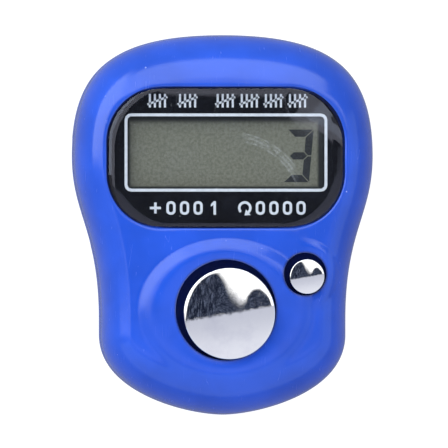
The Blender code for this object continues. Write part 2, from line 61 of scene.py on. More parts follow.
# Case outline and levels, as the CAD model has them
HALF_LENGTH = 19.0
HALF_WIDTH = 15.05
HALF_WAIST = 12.31
OUTLINE_CURVES = (
    ((0.0, HALF_LENGTH), (9.1, HALF_LENGTH), (13.2, 16.9), (HALF_WIDTH, 13.1), (HALF_WIDTH, 6.9)),
    ((HALF_WIDTH, 6.9), (HALF_WIDTH, 1.0), (HALF_WAIST, -0.5), (HALF_WAIST, -9.5)),
    ((HALF_WAIST, -9.5), (HALF_WAIST, -11.0)),
    ((HALF_WAIST, -11.0), (HALF_WAIST, -17.0), (3.25, -HALF_LENGTH), (0.0, -HALF_LENGTH)),
)
SIDE_SHOULDER = 3.0
DISPLAY_END_SHOULDER = 5.2
BUTTON_END_SHOULDER = 4.4
SHOULDER_Z = 6.0
FACE_Z = 12.0
DRAFT = 0.1
SIDE_WALL = 1.3
FLAT_WALL = 1.2
LIP_INSET = 0.65
LIP_GAP, LIP_HEADROOM = 0.05, 0.15
PARTING_EDGE = 0.12

# Facets round each loop
AROUND_CASE = 320
AROUND_WINDOW = 240
AROUND_COUNT = 192
AROUND_RESET = 96


# ---- frame


def node_range(node, axis):
    """A CAD node's lowest and highest place along one axis, in millimetres."""
    low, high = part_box(node)
    return low[axis] / MM, high[axis] / MM


def node_centre(node):
    return tuple(sum(node_range(node, axis)) / 2 for axis in (0, 1))


COUNT_CENTRE = node_centre("count_dome")
RESET_CENTRE = node_centre("reset_dome")
WINDOW_CENTRE = node_centre("window_lens")
COUNT_HOLE = 4.96
RESET_HOLE = 2.1
HOLES = ((COUNT_HOLE, COUNT_CENTRE, AROUND_COUNT), (RESET_HOLE, RESET_CENTRE, AROUND_RESET))
WINDOW_SIZE = (23.7, 14.05)
WINDOW_CORNER = 5.5
PARTING_TOP = node_range("front_case", 2)[0]
LIP_TOP = node_range("back_case", 2)[1]


# ---- outlines


def bezier(handles, t):
    """Points on a Bezier curve of any degree and the directions there, for an array of t."""
    points = [np.array(handle)[None, :] * np.ones((len(t), 1)) for handle in handles]
    share = t[:, None]
    while len(points) > 2:
        points = [a + (b - a) * share for a, b in zip(points, points[1:])]
    start, end = points
    along = end - start
    return start + along * share, along / np.linalg.norm(along, axis=1)[:, None]


def evenly(count, points, *others):
    """Values of some arrays at even spacing along the line that the first of them draws."""
    length = np.concatenate([[0.0], np.linalg.norm(np.diff(points, axis=0), axis=1).cumsum()])
    places = np.linspace(0.0, length[-1], count, endpoint=False)
    return [
        np.stack([np.interp(places, length, column) for column in values.T], axis=1)
        for values in (points, *others)
    ]


def case_outline(count):
    """Evenly spaced points round the case with their outward normals, clockwise from the display end."""
    t = np.linspace(0.0, 1.0, 400)
    parts = [bezier(curve, t) for curve in OUTLINE_CURVES]
    points, along = (
        np.concatenate([part[k][:-1] for part in parts] + [parts[-1][k][-1:]]) for k in (0, 1)
    )
    normals = np.stack([-along[:, 1], along[:, 0]], axis=1)
    flip = np.array([-1.0, 1.0])
    points, normals = (np.concatenate([half, half[-2::-1] * flip]) for half in (points, normals))
    points, normals = evenly(count, points, normals)
    return points, normals / np.linalg.norm(normals, axis=1)[:, None]


def shoulder_width(normal_y):
    """How far in the side takes to become the face, wider at the two ends than along the sides."""
    end = np.where(normal_y > 0, DISPLAY_END_SHOULDER, BUTTON_END_SHOULDER)
    return SIDE_SHOULDER + (end - SIDE_SHOULDER) * normal_y**2


STATIONS, STATION_NORMALS = case_outline(AROUND_CASE)
FINE_STATIONS, FINE_NORMALS = case_outline(2400)
STATION_TREE = KDTree(len(FINE_STATIONS))
for number, station in enumerate(FINE_STATIONS):
    STATION_TREE.insert((*station, 0.0), number)
STATION_TREE.balance()


def case_loop(inset, roll=0.0):
    """The case outline moved in by an inset and by a share of the shoulder's width."""
    width = shoulder_width(STATION_NORMALS[:, 1])[:, None]
    return STATIONS - STATION_NORMALS * (inset + roll * width)


def inset_and_width(xy):
    """How far inside the case outline each point is, and the shoulder's width beside it."""
    nearest = np.array([STATION_TREE.find((x, y, 0.0))[1] for x, y in xy])
    normals = FINE_NORMALS[nearest]
    inset = ((FINE_STATIONS[nearest] - xy) * normals).sum(axis=1)
    return inset, shoulder_width(normals[:, 1])


def directions(angles):
    return np.stack([np.cos(angles), np.sin(angles)], axis=1)


def rounded_rectangle(size, radius, centre, count):
    """Evenly spaced points round a rectangle with rounded corners, anticlockwise from its right side."""
    ring = directions(np.linspace(0.0, math.tau, 4 * count, endpoint=False))
    corners = np.sign(ring + 1e-12) * (np.array(size) / 2 - radius)
    outline = corners + radius * ring
    [points] = evenly(count, np.concatenate([outline, outline[:1]]))
    return points + np.array(centre)


def outside_rectangle(xy, size, radius, centre):
    """Signed distance of points from a rounded rectangle, positive outside."""
    gap = np.abs(xy - np.array(centre)) - (np.array(size) / 2 - radius)
    return np.linalg.norm(np.maximum(gap, 0.0), axis=1) + np.minimum(gap.max(axis=1), 0.0) - radius


def circle(radius, centre, count):
    """Points round a centre, at one radius or at one for each point."""
    ring = directions(np.linspace(0.0, math.tau, count, endpoint=False))
    return ring * np.reshape(radius, (-1, 1)) + np.array(centre)


def quarter_round(radius, angles):
    """How far in, and how far short of its top, a rounded edge is at each angle up from its side."""
    return [(radius * (1.0 - math.cos(a)), radius * (1.0 - math.sin(a))) for a in np.radians(angles)]


def window_loop(offset):
    size = tuple(side + 2 * offset for side in WINDOW_SIZE)
    return rounded_rectangle(size, WINDOW_CORNER + offset, WINDOW_CENTRE, AROUND_WINDOW)


# ---- meshes


class Shell:
    """Points in millimetres, and faces between loops of them."""

    def __init__(self):
        self.points, self.faces = [], []

    def loop(self, xy, z):
        """Adds a loop of points and returns their places in the mesh."""
        start = len(self.points)
        heights = np.broadcast_to(z, (len(xy),))
        self.points += [(x, y, height) for (x, y), height in zip(xy, heights)]
        return list(range(start, len(self.points)))

    def strips(self, loops, capped=False):
        """Joins each loop to the next with four-sided faces, and may close the first and the last."""
        for first, second in zip(loops, loops[1:]):
            after = first[1:] + first[:1], second[1:] + second[:1]
            self.faces += [list(corners) for corners in zip(first, after[0], after[1], second)]
        if capped:
            self.faces += [loops[0], loops[-1]]

    def sheet(self, rims, between, height, inside):
        """Fills the space between rims with triangles through more points, at a height for each place."""
        rim_points = [k for rim in rims for k in rim]
        places = rim_points + self.loop(between, height(between))
        edges, start = [], 0
        for rim in rims:
            edges += [(start + k, start + (k + 1) % len(rim)) for k in range(len(rim))]
            start += len(rim)
        flat = [Vector(self.points[k][:2]) for k in places]
        found, _, triangles, origins, _, _ = delaunay_2d_cdt(flat, edges, [], 0, 1e-6)
        middles = np.array([np.mean([found[k] for k in face], axis=0) for face in triangles])
        for face, shown in zip(triangles, inside(middles)):
            if shown:
                self.faces.append([places[origins[k][0]] for k in face])

    def build(self, name, sharp_angle=35.0):
        """Makes the object, in metres, with its faces pointing out."""
        mesh = bmesh.new()
        vertices = [mesh.verts.new(Vector(point) * MM) for point in self.points]
        for face in self.faces:
            mesh.faces.new([vertices[k] for k in face])
        loose = [vertex for vertex in vertices if not vertex.link_faces]
        bmesh.ops.delete(mesh, geom=loose, context="VERTS")
        bmesh.ops.recalc_face_normals(mesh, faces=mesh.faces)
        data = bpy.data.meshes.new(name)
        mesh.to_mesh(data)
        mesh.free()
        data.shade_smooth()
        data.set_sharp_from_angle(angle=math.radians(sharp_angle))
        piece = bpy.data.objects.new(name, data)
        bpy.context.scene.collection.objects.link(piece)
        return piece


def solid(name, levels, sharp_angle=35.0):
    """A closed piece through (loop, z) levels from one end to the other."""
    shell = Shell()
    shell.strips([shell.loop(xy, z) for xy, z in levels], capped=True)
    return shell.build(name, sharp_angle)


def turned(name, profile, centre, facets, sharp_angle=35.0):
    """A round piece: a (radius, z) outline turned about an upright axis, flat where it ends."""
    return solid(name, [(circle(radius, centre, facets), z) for radius, z in profile], sharp_angle)


def arc(centre, radius, start, end, steps):
    """Points on an arc in the (radius, z) plane, angles in degrees."""
    angles = np.radians(np.linspace(start, end, steps + 1))
    return [(centre[0] + radius * math.cos(a), centre[1] + radius * math.sin(a)) for a in angles]


def box_piece(name, x_range, y_range, z_range):
    (x0, x1), (y0, y1) = x_range, y_range
    corners = np.array([(x0, y0), (x1, y0), (x1, y1), (x0, y1)])
    return solid(name, [(corners, z) for z in z_range])


def rounded_slot(name, x_range, y_range, z_range, radius):
    """A cutter across the case, with its long edges rounded."""
    size, centre = zip(*((high - low, (low + high) / 2) for low, high in (y_range, z_range)))
    outline = rounded_rectangle(size, radius, centre, 64)
    shell = Shell()
    for x in x_range:
        shell.points += [(x, y, z) for y, z in outline]
    half = len(outline)
    shell.strips([list(range(half)), list(range(half, 2 * half))], capped=True)
    return shell.build(name)


def carve(piece, operation, tools):
    """Applies a Boolean with several tools and removes them."""
    for tool in tools:
        modifier = piece.modifiers.new(tool.name, "BOOLEAN")
        modifier.operation = operation
        modifier.object = tool
    graph = bpy.context.evaluated_depsgraph_get()
    data = bpy.data.meshes.new_from_object(piece.evaluated_get(graph))
    piece.modifiers.clear()
    piece.data = data
    for tool in tools:
        bpy.data.objects.remove(tool)
    return piece


# ---- front case

COUNT_PAD = (8.75, 7.05)
COUNT_CREST_Z = 12.46
COUNT_CREST_TILT = 0.1
COUNT_DIP = 0.06
COUNT_BLEND, RESET_BLEND = 0.12, 0.1
CREST_SHARE = 0.4
PAD_REACH, PAD_END = 1.07, 1.2
RESET_PAD_RISE = 0.2
RESET_DIP_SHARE = 0.4
RESET_PAD_REACH = 1.6
RESET_CREST = 2.75
RESET_FOOT = 3.4
RESET_PAD_FACING = math.radians(10.0)
COUNT_EDGE, RESET_EDGE, WINDOW_EDGE = 0.16, 0.1, 0.22
WINDOW_BORDER = 0.4
WELL_Z = 10.82
COUNT_WELL, RESET_WELL = 5.9, 2.95
RIM_ANGLE, RIM_STEP = 20.0, 3.5
RIM_ROLL = 1.0 - math.cos(math.radians(RIM_ANGLE))
INNER_RIM_ANGLE = 30.0
INNER_ROLL = 1.0 - math.cos(math.radians(INNER_RIM_ANGLE))
VIEW_CENTRE = (0.0, 7.23)
VIEW_OPENING = (20.6, 8.1)
VIEW_CORNER = 0.6
SEAT_Z, LEDGE_Z = 10.4, 9.6
SEAT_WALL = 0.7


def smooth_max(first, second, blend):
    """The higher of two heights, with a fillet where they cross."""
    near = np.maximum(blend - np.abs(first - second), 0.0) / blend
    return np.maximum(first, second) + near**2 * blend / 4


def side_height(inset, width, wall, top_z):
    """The height of the case's surface a distance inside its outline: a quarter ellipse, then flat."""
    share = np.clip(1.0 - (inset - wall - DRAFT) / width, 0.0, 1.0)
    return SHOULDER_Z + (top_z - SHOULDER_Z) * np.sqrt(1.0 - share**2)


def pad_radii(offset):
    """The raised pad's crest and foot radius in the direction of each offset from the count button."""
    reach = np.maximum(np.linalg.norm(offset, axis=1), 1e-6)
    direction = offset / reach[:, None]
    foot = 1.0 / np.linalg.norm(direction / np.array(COUNT_PAD), axis=1)
    crest = COUNT_HOLE + CREST_SHARE * (foot - COUNT_HOLE)
    return reach, crest, foot


def count_pad_height(xy):
    """The raised ring round the count button: highest towards the window, dipping a little at the hole."""
    offset = xy - np.array(COUNT_CENTRE)
    reach, crest, foot = pad_radii(offset)
    crest_z = COUNT_CREST_Z + COUNT_CREST_TILT * (offset[:, 1] / reach)
    fall = (reach - crest) / (foot - crest)
    outer = crest_z - (crest_z - FACE_Z) * fall**2
    inward = np.clip((crest - reach) / (crest - COUNT_HOLE), 0.0, 1.0)
    inner = crest_z - COUNT_DIP * inward**2
    height = np.where(reach > crest, outer, inner)
    return np.where(reach > PAD_END * foot, 0.0, height)


def reset_pad_rise(xy):
    """How far the ring round the reset button stands up, most on the side away from the count button."""
    offset = xy - np.array(RESET_CENTRE)
    reach = np.maximum(np.linalg.norm(offset, axis=1), 1e-6)
    outer = 1.0 - ((reach - RESET_CREST) / (RESET_FOOT - RESET_CREST)) ** 2
    inward = np.clip((RESET_CREST - reach) / (RESET_CREST - RESET_HOLE), 0.0, 1.0)
    inner = 1.0 - RESET_DIP_SHARE * inward
    towards = (offset @ np.array([math.cos(RESET_PAD_FACING), math.sin(RESET_PAD_FACING)])) / reach
    side = np.clip(0.15 + 1.2 * towards, 0.0, 1.0)
    side = side * side * (3.0 - 2.0 * side)
    return RESET_PAD_RISE * side * np.where(reach > RESET_CREST, outer, inner)


def rounding(distance, radius):
    """How far a rounded edge has dropped at a distance from the edge's wall."""
    inside = np.clip(radius - distance, 0.0, radius)
    return radius - np.sqrt(radius**2 - inside**2)


def zone_gaps(xy):
    """Distance of each point from the count hole, the reset hole and the window."""
    from_holes = [np.linalg.norm(xy - np.array(centre), axis=1) - radius for radius, centre, _ in HOLES]
    return *from_holes, outside_rectangle(xy, WINDOW_SIZE, WINDOW_CORNER, WINDOW_CENTRE)


def face_height(xy):
    """The height of the front case's outer surface."""
    height = side_height(*inset_and_width(xy), 0.0, FACE_Z)
    height = smooth_max(height, height + reset_pad_rise(xy), RESET_BLEND)
    height = smooth_max(height, count_pad_height(xy), COUNT_BLEND)
    for gap, radius in zip(zone_gaps(xy), (COUNT_EDGE, RESET_EDGE, WINDOW_EDGE)):
        height = height - rounding(gap, radius)
    return height


def inner_height(xy):
    """The height of the front case's inner surface, with a flat well over each button's flange."""
    height = side_height(*inset_and_width(xy), SIDE_WALL, FACE_Z - FLAT_WALL)
    from_count, from_reset, _ = zone_gaps(xy)
    in_count = from_count < COUNT_WELL - COUNT_HOLE + 0.01
    in_reset = from_reset < RESET_WELL - RESET_HOLE + 0.01
    return np.where(in_count | in_reset, WELL_Z, height)


def clear_of_rims(xy, inset_limit, roll, hole_gap, window_gap):
    """Whether each point is far enough inside the case's rim, and outside the holes and the window."""
    inset, width = inset_and_width(xy)
    from_count, from_reset, from_window = zone_gaps(xy)
    in_rim = (inset > inset_limit + width * roll) & (from_window > window_gap)
    return in_rim & (from_count > hole_gap) & (from_reset > hole_gap)


def edge_offsets(radius):
    """Distances from a rounded edge's wall at which loops follow the rounding evenly."""
    return radius * (1.0 - np.cos(np.radians(np.linspace(18.0, 90.0, 5))))


def grid(spacing):
    """A staggered grid of points over the case."""
    rows = np.arange(-HALF_LENGTH, HALF_LENGTH, spacing * 0.87)
    columns = np.arange(-HALF_WIDTH, HALF_WIDTH, spacing)
    return np.array([(x + (row % 2) * spacing / 2, y) for row, y in enumerate(rows) for x in columns])


def face_points():
    """Points between the rims, in loops that follow the shoulder, the window's edge and the two pads."""
    rolls = 1.0 - np.cos(np.radians(np.arange(RIM_ANGLE + RIM_STEP, 90.1, RIM_STEP)))
    shoulder = np.concatenate([case_loop(DRAFT, roll) for roll in rolls])
    offsets = [*edge_offsets(WINDOW_EDGE), WINDOW_BORDER]
    window = np.concatenate([window_loop(offset) for offset in offsets])

    _, _, foot = pad_radii(circle(1.0, (0.0, 0.0), AROUND_COUNT))
    start = COUNT_HOLE + COUNT_EDGE + 0.1
    radii = [COUNT_HOLE + offset for offset in edge_offsets(COUNT_EDGE)]
    radii += [start + (foot * PAD_REACH - start) * share for share in np.linspace(0.0, 1.0, 22)]
    count = np.concatenate([circle(radius, COUNT_CENTRE, AROUND_COUNT) for radius in radii])
    offsets = [*edge_offsets(RESET_EDGE), *np.arange(0.28, RESET_PAD_REACH, 0.07)]
    reset = np.concatenate([circle(RESET_HOLE + offset, RESET_CENTRE, AROUND_RESET) for offset in offsets])

    from_count, from_reset, _ = zone_gaps(count)
    count = count[(from_reset > 0.25) & ((from_count < from_reset) | (from_reset > 1.62))]
    from_count, from_reset, _ = zone_gaps(reset)
    reset = reset[(from_count > 0.25) & (from_reset <= from_count)]
    kept = [window, count, reset]
    for points, gap in ((shoulder, 0.12), (grid(0.5), 0.25)):
        _, from_reset, from_window = zone_gaps(points)
        reach, _, foot = pad_radii(points - np.array(COUNT_CENTRE))
        clear = (reach - foot * PAD_REACH > gap) & (from_reset > RESET_PAD_REACH + gap)
        kept.append(points[clear & (from_window > WINDOW_BORDER + gap)])
    inset, width = inset_and_width(kept[-1])
    kept[-1] = kept[-1][inset > DRAFT + width + 0.2]
    return np.concatenate(kept)


def front_case():
    """The front shell as one closed mesh: face, hole walls, window seat, rim, lip room and inner face."""
    shell = Shell()

    def on_face(xy):
        return shell.loop(xy, face_height(xy))

    def on_shoulder(inset, top_z, angle):
        turn = math.radians(angle)
        height = SHOULDER_Z + (top_z - SHOULDER_Z) * math.sin(turn)
        return shell.loop(case_loop(inset, 1.0 - math.cos(turn)), height)

    outer_rim = on_face(case_loop(DRAFT, RIM_ROLL))
    window_rim = on_face(window_loop(0.0))
    hole_rims = [on_face(circle(*hole)) for hole in HOLES]
    shell.sheet(
        [outer_rim, window_rim, *hole_rims],
        face_points(),
        face_height,
        lambda xy: clear_of_rims(xy, DRAFT, RIM_ROLL, 0.0, 0.0),
    )

    side = [outer_rim]
    side += [on_shoulder(DRAFT, FACE_Z, angle) for angle in (15.0, 10.0, 5.0, 0.0)]
    for inset, short in quarter_round(PARTING_EDGE, (0.0, 30.0, 60.0, 90.0)):
        side.append(shell.loop(case_loop(inset), PARTING_TOP + short))
    lip_room, room_top = LIP_INSET - LIP_GAP, LIP_TOP + LIP_HEADROOM
    for inset, z in ((lip_room, PARTING_TOP), (lip_room, room_top), (SIDE_WALL, room_top)):
        side.append(shell.loop(case_loop(inset), z))
    inner = SIDE_WALL + DRAFT
    side += [on_shoulder(inner, FACE_Z - FLAT_WALL, angle) for angle in (0.0, 10.0, 20.0, INNER_RIM_ANGLE)]
    shell.strips(side)

    opening = rounded_rectangle(VIEW_OPENING, VIEW_CORNER, VIEW_CENTRE, AROUND_WINDOW)
    seat_back = window_loop(SEAT_WALL)
    seat = [
        window_rim,
        shell.loop(window_loop(0.0), SEAT_Z),
        shell.loop(opening, SEAT_Z),
        shell.loop(opening, LEDGE_Z),
        shell.loop(seat_back, LEDGE_Z),
        shell.loop(seat_back, inner_height(seat_back)),
    ]
    shell.strips(seat)
    feet = [shell.loop(circle(*hole), WELL_Z) for hole in HOLES]
    for rim, foot in zip(hole_rims, feet):
        shell.strips([rim, foot])

    wells = [circle(radius, COUNT_CENTRE, 96) for radius in (COUNT_WELL, COUNT_WELL + 0.06)]
    wells += [circle(radius, RESET_CENTRE, 48) for radius in (RESET_WELL, RESET_WELL + 0.06)]
    between = np.concatenate([*wells, grid(1.2)])
    shell.sheet(
        [side[-1], seat[-1], *feet],
        between[clear_of_rims(between, inner + 0.15, INNER_ROLL, 0.2, SEAT_WALL + 0.15)],
        inner_height,
        lambda xy: clear_of_rims(xy, inner, INNER_ROLL, 0.0, SEAT_WALL),
    )
    return shell.build("front_shell", 40.0)


# ---- back case

CASE_SCREWS = [node_centre(f"case_screw_{k}") for k in (1, 2, 3)]
CHANNEL_Y = (-2.2, 8.8)
CHANNEL_TOP = 2.8
CHANNEL_WALL = 1.0
BAR_TOP = 1.2
BAR_INNER = 11.0
BAR_EDGE = 0.35
BACK_EDGE = 1.5
BEYOND = HALF_WIDTH + 2.0
BELOW = -1.0


def back_case():
    """The back shell, with its lip, screw bosses and strap channel."""
    top = PARTING_TOP - 0.1
    bottom = quarter_round(BACK_EDGE, np.linspace(0.0, 90.0, 10))
    rim = quarter_round(PARTING_EDGE, np.linspace(0.0, 90.0, 5))
    levels = [(case_loop(inset), z) for z, inset in bottom]
    levels += [(case_loop(inset), top - short) for inset, short in rim]
    levels += [(case_loop(LIP_INSET), top), (case_loop(LIP_INSET), LIP_TOP)]
    shell = solid("back_shell", levels)

    hollow_levels = ((1.2, FLAT_WALL), (0.4, FLAT_WALL + 0.3), (0.0, FLAT_WALL + 1.0), (0.0, LIP_TOP + 1.5))
    hollow = solid("back_hollow", [(case_loop(SIDE_WALL + inset), z) for inset, z in hollow_levels])
    wall_y = (CHANNEL_Y[0] - CHANNEL_WALL, CHANNEL_Y[1] + CHANNEL_WALL)
    kept = [box_piece("channel_wall", (-BEYOND, BEYOND), wall_y, (BELOW, CHANNEL_TOP + CHANNEL_WALL))]
    boss = [(1.9, BELOW), (1.9, 6.0)]
    kept += [turned(f"back_boss_{k}", boss, at, 48) for k, at in enumerate(CASE_SCREWS)]
    carve(hollow, "DIFFERENCE", kept)

    cuts = [
        hollow,
        box_piece("channel", (-BAR_INNER, BAR_INNER), CHANNEL_Y, (BELOW, CHANNEL_TOP)),
        rounded_slot("strap_slot", (-BEYOND, BEYOND), CHANNEL_Y, (BAR_TOP, CHANNEL_TOP), BAR_EDGE),
    ]
    bore = [(1.85, BELOW), (1.85, 0.0), (1.65, 0.2), (1.65, 1.7)]
    clearance = [(0.85, BELOW), (0.85, 7.0)]
    for k, at in enumerate(CASE_SCREWS):
        cuts.append(turned(f"counterbore_{k}", bore, at, 64))
        cuts.append(turned(f"clearance_{k}", clearance, at, 32))
    return carve(shell, "DIFFERENCE", cuts)


def cross_screw(name, centre):
    """A pan-head self-tapping screw, head down, with a cross recess and a threaded shank."""
    head_radius, low, high = 1.45, 0.6, 1.65
    shank, tip, pitch, depth = 0.7, 9.7, 0.55, 0.12
    profile = [(r, low + 0.22 * (r / head_radius) ** 2) for r in np.linspace(0.15, head_radius - 0.2, 8)]
    profile += arc((head_radius - 0.22, low + 0.4), 0.22, -80.0, 0.0, 5)
    profile += [(head_radius, high), (shank, high)]
    for k in range(int((tip - 0.9 - high) / pitch)):
        z = high + 0.3 + k * pitch
        profile += [(shank - depth, z), (shank, z + 0.5 * pitch), (shank - depth, z + 0.75 * pitch)]
    profile.append((0.3 * shank, tip))
    piece = turned(name, profile, centre, 48)
    x, y = centre
    arms = []
    for k, (half_x, half_y) in enumerate(((0.85, 0.16), (0.16, 0.85))):
        across, along = (x - half_x, x + half_x), (y - half_y, y + half_y)
        arms.append(box_piece(f"{name}_arm_{k}", across, along, (0.0, low + 0.55)))
    carve(arms[0], "UNION", arms[1:])
    return carve(piece, "DIFFERENCE", arms[:1])


# ---- window and display

LENS_Z = node_range("window_lens", 2)
PRINT_TOP = node_range("window_print", 2)[1]
FILM_TOP = node_range("lcd_front_polariser", 2)[1]
FRAME_LINE_SIZE = (20.2, 7.78)
FRAME_LINE_CORNER = 0.65
FRAME_LINE_WIDTH = 0.29
FRAME_LINE_CENTRE = (0.08, 7.2)
MARK_Z = (PRINT_TOP + 0.003, PRINT_TOP + 0.012)
MARK_HEIGHT = 1.35
MARK_STROKE = 0.25
DIGIT_CENTRE = (7.36, 6.88)
DIGIT_HALF_HEIGHT = 2.62
DIGIT_HALF_WIDTH = 1.28
DIGIT_STROKE = 0.72
DIGIT_SLANT = 0.09
DIGIT_GAP = 0.06


def lens_roll(rim):
    """How wide the lens's rolled border is beside each rim point, its slope there, and its curve's power."""
    along = np.roll(rim, -1, axis=0) - np.roll(rim, 1, axis=0)
    outward = np.stack([along[:, 1], -along[:, 0]]) / np.linalg.norm(along, axis=1)
    across, up = outward.clip(-1.0, 1.0)
    top, right, left = up.clip(0.0), across.clip(0.0), (-across).clip(0.0)
    corner = (2.0 * top * right) ** 0.7
    width = 0.35 + 0.75 * top + 0.95 * (left + right) + 3.0 * top * right
    return width, 0.17 + 0.14 * left + 0.07 * corner, 2.0 - 0.75 * corner


def lens():
    """The window, flat in the middle and rolling gently down to its polished rim, most at the top right."""
    low, high = LENS_Z
    fit, edge = -0.1, 0.08
    narrow, wide = 0.35, 3.15
    rim = window_loop(fit - edge)
    width, slope, power = lens_roll(rim)
    drop = slope * width / power
    share_in = ((width - narrow) / 2.9).clip(0.0, 1.0)[:, None]
    near, far = (window_loop(fit - edge - border) for border in (narrow, wide))
    flat_edge = near * (1.0 - share_in) + far * share_in
    levels = [(window_loop(fit), low)]
    for inset, short in quarter_round(edge, np.linspace(0.0, 70.0, 5)):
        levels.append((window_loop(fit - inset), high - drop - short))
    for share in np.linspace(0.0, 1.0, 18)[1:]:
        levels.append((rim + (flat_edge - rim) * share, high - drop * (1.0 - share) ** power))
    return solid("window_lens_polished", levels, 50.0)


def flat_shapes(name, outlines, z_range, rings=()):
    """Thin flat shapes, one for each closed outline, and rings, each an outline and its hole."""
    shell = Shell()
    for outline in outlines:
        shell.strips([shell.loop(outline, z) for z in z_range], capped=True)
    low, high = z_range
    for outer, inner in rings:
        loops = [shell.loop(xy, z) for xy, z in ((outer, low), (outer, high), (inner, high), (inner, low))]
        shell.strips(loops + loops[:1])
    return shell.build(name)


def ring_outlines(size, corner, hole_corner, width, centre, count):
    """A rounded rectangle and the hole that leaves a line of one width round it."""
    hole = tuple(side - 2 * width for side in size)
    outer = rounded_rectangle(size, corner, centre, count)
    return outer, rounded_rectangle(hole, hole_corner, centre, count)


def frame_line():
    """The thin printed line round the display."""
    corner, width = FRAME_LINE_CORNER, FRAME_LINE_WIDTH
    ring = ring_outlines(FRAME_LINE_SIZE, corner, corner - width, width, FRAME_LINE_CENTRE, 160)
    return flat_shapes("printed_frame_line", [], MARK_Z, [ring])


def stroke(start, end, width):
    """A bar of constant width between two points, as an outline."""
    start, end = np.array(start), np.array(end)
    along = (end - start) / np.linalg.norm(end - start)
    side = np.array([-along[1], along[0]]) * width / 2
    return np.array([start - side, end - side, end + side, start + side])


def tally_row(left, right, groups, base):
    """Fives in tally strokes, each four uprights and a slanting one across them, as outlines."""
    step, overhang, top = 0.5, 0.24, base + MARK_HEIGHT
    outlines = []
    for start in np.linspace(left + 0.25, right - 0.25 - 3 * step, groups):
        lines = [((start + k * step, base), (start + k * step, top)) for k in range(4)]
        lines.append(((start - overhang, base + 0.3), (start + 3 * step + overhang, top - 0.3)))
        outlines += [stroke(*ends, 0.85 * MARK_STROKE) for ends in lines]
    return outlines


def printed_marks():
    """Generic marks: tally strokes above the display, and below it +0001 and a turning arrow before 0000."""
    above = VIEW_CENTRE[1] + FRAME_LINE_SIZE[1] / 2 + 0.56
    middle = VIEW_CENTRE[1] - FRAME_LINE_SIZE[1] / 2 - 0.98 - MARK_HEIGHT / 2
    outlines = tally_row(-7.75, -2.75, 2, above) + tally_row(-1.0, 8.2, 4, above)

    plus_x, arm, half_stroke = -6.95, 0.55, MARK_STROKE / 2
    outlines.append(stroke((plus_x - arm, middle), (plus_x + arm, middle), MARK_STROKE))
    for side in (-1, 1):
        start, end = (plus_x, middle + side * half_stroke), (plus_x, middle + side * arm)
        outlines.append(stroke(start, end, MARK_STROKE))
    half = MARK_HEIGHT / 2
    upright = [(-0.02, -half), (0.23, -half), (0.23, half), (0.02, half)]
    flag = [(-0.28, 0.38), (-0.28, 0.14), (-0.02, 0.3)]
    outlines.append(np.array(upright + flag) + (-1.15, middle))
    noughts = [
        ring_outlines((0.92, MARK_HEIGHT), 0.42, 0.19, MARK_STROKE, (x, middle), 48)
        for x in (-5.4, -4.05, -2.7, 3.5, 4.85, 6.2, 7.55)
    ]

    ring = directions(np.radians(np.linspace(-50.0, 225.0, 34)))
    outer, inner = ring * half, ring * (half - MARK_STROKE)
    arrow_centre = (1.95, middle)
    outlines.append(np.concatenate([outer, inner[::-1]]) + arrow_centre)
    tip = ring[0] * (half - half_stroke)
    aim = np.array([ring[0][1], -ring[0][0]])
    head = np.array([tip - ring[0] * 0.36, tip + aim * 0.5, tip + ring[0] * 0.36])
    outlines.append(head + arrow_centre)
    return flat_shapes("printed_marks", outlines, MARK_Z, noughts)


def digit_segments():
    """The lit segments of a three: bars with pointed ends, a thin gap apart."""
    w, h, t, g = DIGIT_HALF_WIDTH, DIGIT_HALF_HEIGHT, DIGIT_STROKE, DIGIT_GAP
    half = t / 2
    top = [(-w + g, h), (w - g, h), (w - t - g, h - t), (-w + t + g, h - t)]
    ends = [(-w + g + half, 0.0), (-w + g + t, half), (w - g - t, half), (w - g - half, 0.0)]
    middle = ends + [(w - g - t, -half), (-w + g + t, -half)]
    upper = [(w, h - g), (w, g), (w - half, g), (w - t, half + g), (w - t, h - t - g)]
    bottom, lower = ([(x, -y) for x, y in segment] for segment in (top, upper))
    outlines = []
    for segment in (top, middle, bottom, upper, lower):
        points = np.array(segment)
        points[:, 0] += points[:, 1] * DIGIT_SLANT
        outlines.append(points + DIGIT_CENTRE)
    return flat_shapes("display_digit", outlines, (FILM_TOP + 0.003, FILM_TOP + 0.01))


# ---- buttons and domes

FLANGE_Z = (10.05, 10.75)
STEM_BOTTOM = 8.35
CAP_WALL = 0.8
CAP_ROOF = 0.9
SIDE_DRAFT = 0.03
# How far above the flange the painted shade reaches before the chrome begins.
SHADE_PAINT_TOP = 0.6
DOME_CEILING = 7.56


def button(node, slack, radius, crown_radius, fillet, flange_radius, stem_radius, hollow, facets):
    """A chromed cap: a spherical crown rolling into an upright side, on a flange, with a stem below. Low on
    its side and on the flange it takes its second material, painted shade for the dark gap round the key.

    It lies off the middle of its hole by the slack, as a loose key does.
    """
    centre = tuple(middle + off for middle, off in zip(node_centre(node), slack))
    top_z = node_range(node, 2)[1]
    tilt = math.asin((radius - fillet) / (crown_radius - fillet))
    crown_end = crown_radius * math.sin(tilt)
    roll_z = top_z - crown_radius + (crown_radius - fillet) * math.cos(tilt)
    profile = []
    for r in np.linspace(crown_end / 16, crown_end, 16):
        profile.append((r, top_z - crown_radius + math.sqrt(crown_radius**2 - r**2)))
    profile += arc((radius - fillet, roll_z), fillet, 90.0 - math.degrees(tilt), 0.0, 12)[1:]
    flange_low, flange_high = FLANGE_Z
    profile += [
        (radius * (1.0 + SIDE_DRAFT), flange_high),
        (flange_radius - 0.1, flange_high),
        (flange_radius, flange_high - 0.1),
        (flange_radius, flange_low),
    ]
    if hollow:
        wall, roof = radius - CAP_WALL, roll_z - CAP_ROOF
        profile += [(wall, flange_low), (wall, roof), (stem_radius, roof)]
    else:
        profile.append((stem_radius, flange_low))
    profile.append((stem_radius, STEM_BOTTOM))
    piece = turned(f"{node}_plated", profile, centre, facets, 40.0)
    # Painted shade: faces lower than a little above the flange take the second, dark material.
    for face in piece.data.polygons:
        face.material_index = int(face.center.z < (flange_high + SHADE_PAINT_TOP) * MM)
    return piece


